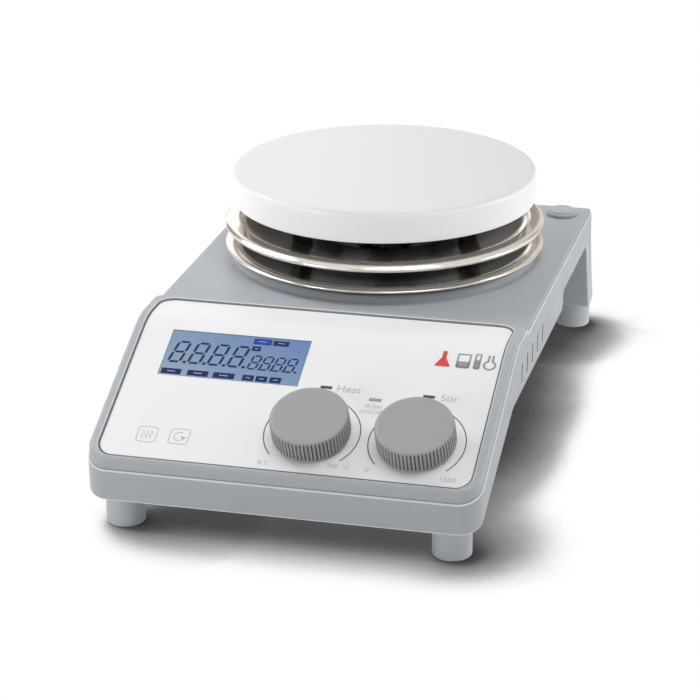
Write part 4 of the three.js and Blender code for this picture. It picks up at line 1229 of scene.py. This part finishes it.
# ---------- work plate and heat shields ----------
def work_plate():
    radius, top, bottom = PLATE_HIGH.x, PLATE_HIGH.z, PLATE_LOW.z
    under = top - 6
    body = lathe(rounded([
        (0, under), (radius - 3.5, under, 0.8), (radius - 3.5, bottom, 0.4), (radius - 0.1, bottom, 0.9),
        (radius, top, 2.2), (0, top)], steps=8), 256)
    sensor_well = rod(2.5, under - 1, under + 1.8, 24, 26)
    return cut(body, sensor_well)


def heat_shield(low, hole, shape):
    """Dished ring of polished sheet: flat base, slowly rising bowl, broad crest that rolls down outside."""
    bend, crest, lip, roll = shape
    sheet, edge = SHIELD_SHEET, UPPER_SHIELD_HIGH.x
    profile = rounded([
        (hole, low.z), (bend + 0.4, low.z, 6), (crest + 0.6, lip - 1.8, 1), (crest + 3, lip - 0.9, 1),
        (edge - 2.8, lip - 1.3, 0.8), (edge - 1, lip - 0.75 * roll, 0.3), (edge - 1.1, lip - roll),
        (edge - 0.4, lip - roll, 0.2), (edge + 0.1, lip - 0.6 * roll, 0.7), (edge - 1.7, lip - 0.1, 1.2),
        (crest + 2.4, lip + 0.15, 1.6), (crest, lip - 1.0, 0.5), (bend, low.z + sheet, 6),
        (hole, low.z + sheet),
    ], closed=True, steps=8)
    body = lathe(profile, 256)
    z0, z1 = low.z - 2, low.z + 4
    turns = [math.radians(angle) for angle in STUD_ANGLES]
    stud_holes = [rod(STUD_HOLE, z0, z1, STUD_CIRCLE * math.cos(turn), STUD_CIRCLE * math.sin(turn), 24)
                  for turn in turns]
    lead_hole = rod(LEAD_HOLE, z0, z1, 0, LEAD_Y, 24)
    return cut(body, *stud_holes, lead_hole)


piece("work_plate_top", work_plate(), "plate", ["work_plate"])
piece("upper_shield_polished", heat_shield(UPPER_SHIELD_LOW, UPPER_SHIELD_HOLE, UPPER_BOWL), "polished_steel",
      ["upper_heat_shield"], smooth=50)
piece("lower_shield_polished", heat_shield(LOWER_SHIELD_LOW, LOWER_SHIELD_HOLE, LOWER_BOWL), "polished_steel",
      ["lower_heat_shield"], smooth=50)


# ---------- finer edges on the frame pieces that stay ----------
EDGE_ROUND = {
    "power_inlet": 0.3, "fuse_drawer": 0.3, "switch_frame": 0.3, "power_rocker": 0.35, "probe_socket": 0.25,
    "serial_socket": 0.2, "bottom_cover": 0.5, "magnet_north": 0.3, "magnet_south": 0.3,
    "magnet_carrier": 0.4,
}
for name, width in EDGE_ROUND.items():
    node = frame["nodes"][name]
    node.data.shade_smooth()
    node.data.set_sharp_from_angle(angle=math.radians(30))
    bevel = node.modifiers.new("edge", "BEVEL")
    bevel.width = width * MM
    bevel.segments = 2
    bevel.limit_method = "ANGLE"
    bevel.angle_limit = math.radians(40)
    bevel.harden_normals = True


# ---------- floor, light and camera ----------
def floor_material():
    """White paper sweep; the eye sees a soft shade that leans away from the light."""
    nodes = surface("floor_white", (240, 240, 240), 0.8, mottle=0.002, grain=300, grain_depth=0.01,
                    specular=0.05)
    lean = nodes.add("ShaderNodeCombineXYZ", dict(zip("XYZ", FLOOR_SHADE_LEAN))).outputs["Vector"]
    inputs = {"Distance": FLOOR_SHADE_REACH, "Normal": lean}
    open_air = nodes.add("ShaderNodeAmbientOcclusion", inputs, samples=32)
    tones = [(share, linear((level,) * 3)) for share, level in FLOOR_SHADE]
    tone = nodes.ramp(open_air.outputs["AO"], tones)
    seen = nodes.add("ShaderNodeEmission", {"Color": tone})
    eye = nodes.add("ShaderNodeLightPath").outputs["Is Camera Ray"]
    nodes.blend(eye, nodes.shader.outputs["BSDF"], seen.outputs["Emission"])
    return nodes.material


def stage_floor():
    reach = 4
    corners = [(x, y, 0) for x, y in rectangle(-reach, reach, -reach, reach)]
    mesh = mesh_from(corners, [[0, 1, 2, 3]], "floor")
    mesh.materials.append(floor_material())
    floor = bpy.data.objects.new("floor", mesh)
    bpy.context.scene.collection.objects.link(floor)


def softbox(name, place, target, width, height, power):
    light = bpy.data.lights.new(name, "AREA")
    light.shape = "RECTANGLE"
    light.size = width
    light.size_y = height
    light.energy = power
    obj = bpy.data.objects.new(name, light)
    obj.location = place
    obj.rotation_mode = "QUATERNION"
    obj.rotation_quaternion = (Vector(target) - Vector(place)).to_track_quat("-Z", "Y")
    bpy.context.scene.collection.objects.link(obj)


def studio_world():
    """White room for the eye; a little darker in front for soft light; strips and dark gaps for mirrors."""
    world = bpy.data.worlds.new("studio")
    world.use_nodes = True
    nodes = Nodes(world.node_tree)
    x, y, z = nodes.parts(nodes.add("ShaderNodeTexCoord").outputs["Generated"])
    sideways = nodes.ramp(nodes.math("MULTIPLY_ADD", x, 0.5, 0.5), MIRROR_SIDEWAYS)
    upward = nodes.ramp(z, MIRROR_UPWARD)
    high = nodes.span(z, 0.0, 1.0, 0.35, 0.75, interpolation_type="SMOOTHSTEP")
    mirrored = nodes.mix(high, sideways, upward)
    back = nodes.span(y, FRONT_DIMMING, 1.0, -1.0, 0.2)
    soft = nodes.add("ShaderNodeCombineColor", {"Red": back, "Green": back, "Blue": back})
    rays = nodes.add("ShaderNodeLightPath").outputs
    lit = nodes.mix(rays["Is Camera Ray"], soft.outputs["Color"], (1, 1, 1, 1))
    seen = nodes.mix(rays["Is Glossy Ray"], lit, mirrored)
    background = next(n for n in world.node_tree.nodes if n.type == "BACKGROUND")
    nodes.feed(background, {"Color": seen, "Strength": WORLD_STRENGTH})
    bpy.context.scene.world = world


def studio():
    studio_world()
    for light in LIGHTS:
        softbox(*light)
    bpy.context.scene.view_settings.view_transform = "Standard"


def make_camera():
    azimuth, elevation = math.radians(CAMERA["azimuth"]), math.radians(CAMERA["elevation"])
    level = math.cos(elevation)
    back = Vector((math.sin(azimuth) * level, -math.cos(azimuth) * level, math.sin(elevation)))
    right = Vector((math.cos(azimuth), math.sin(azimuth), 0))
    right = Matrix.Rotation(math.radians(CAMERA["roll"]), 3, back) @ right
    up = back.cross(right)
    data = bpy.data.cameras.new("camera")
    data.sensor_width = SENSOR
    data.lens = SENSOR * FOCAL_SHARE
    data.clip_start = 0.05
    camera = bpy.data.objects.new("camera", data)
    place = Vector(CAMERA["target"]) + back * CAMERA["distance"]
    rotation = Matrix((right, up, back)).transposed()
    camera.matrix_world = Matrix.Translation(TO_FRAME @ place) @ rotation.to_4x4()
    bpy.context.scene.collection.objects.link(camera)
    bpy.context.scene.camera = camera


stage_floor()
studio()
make_camera()
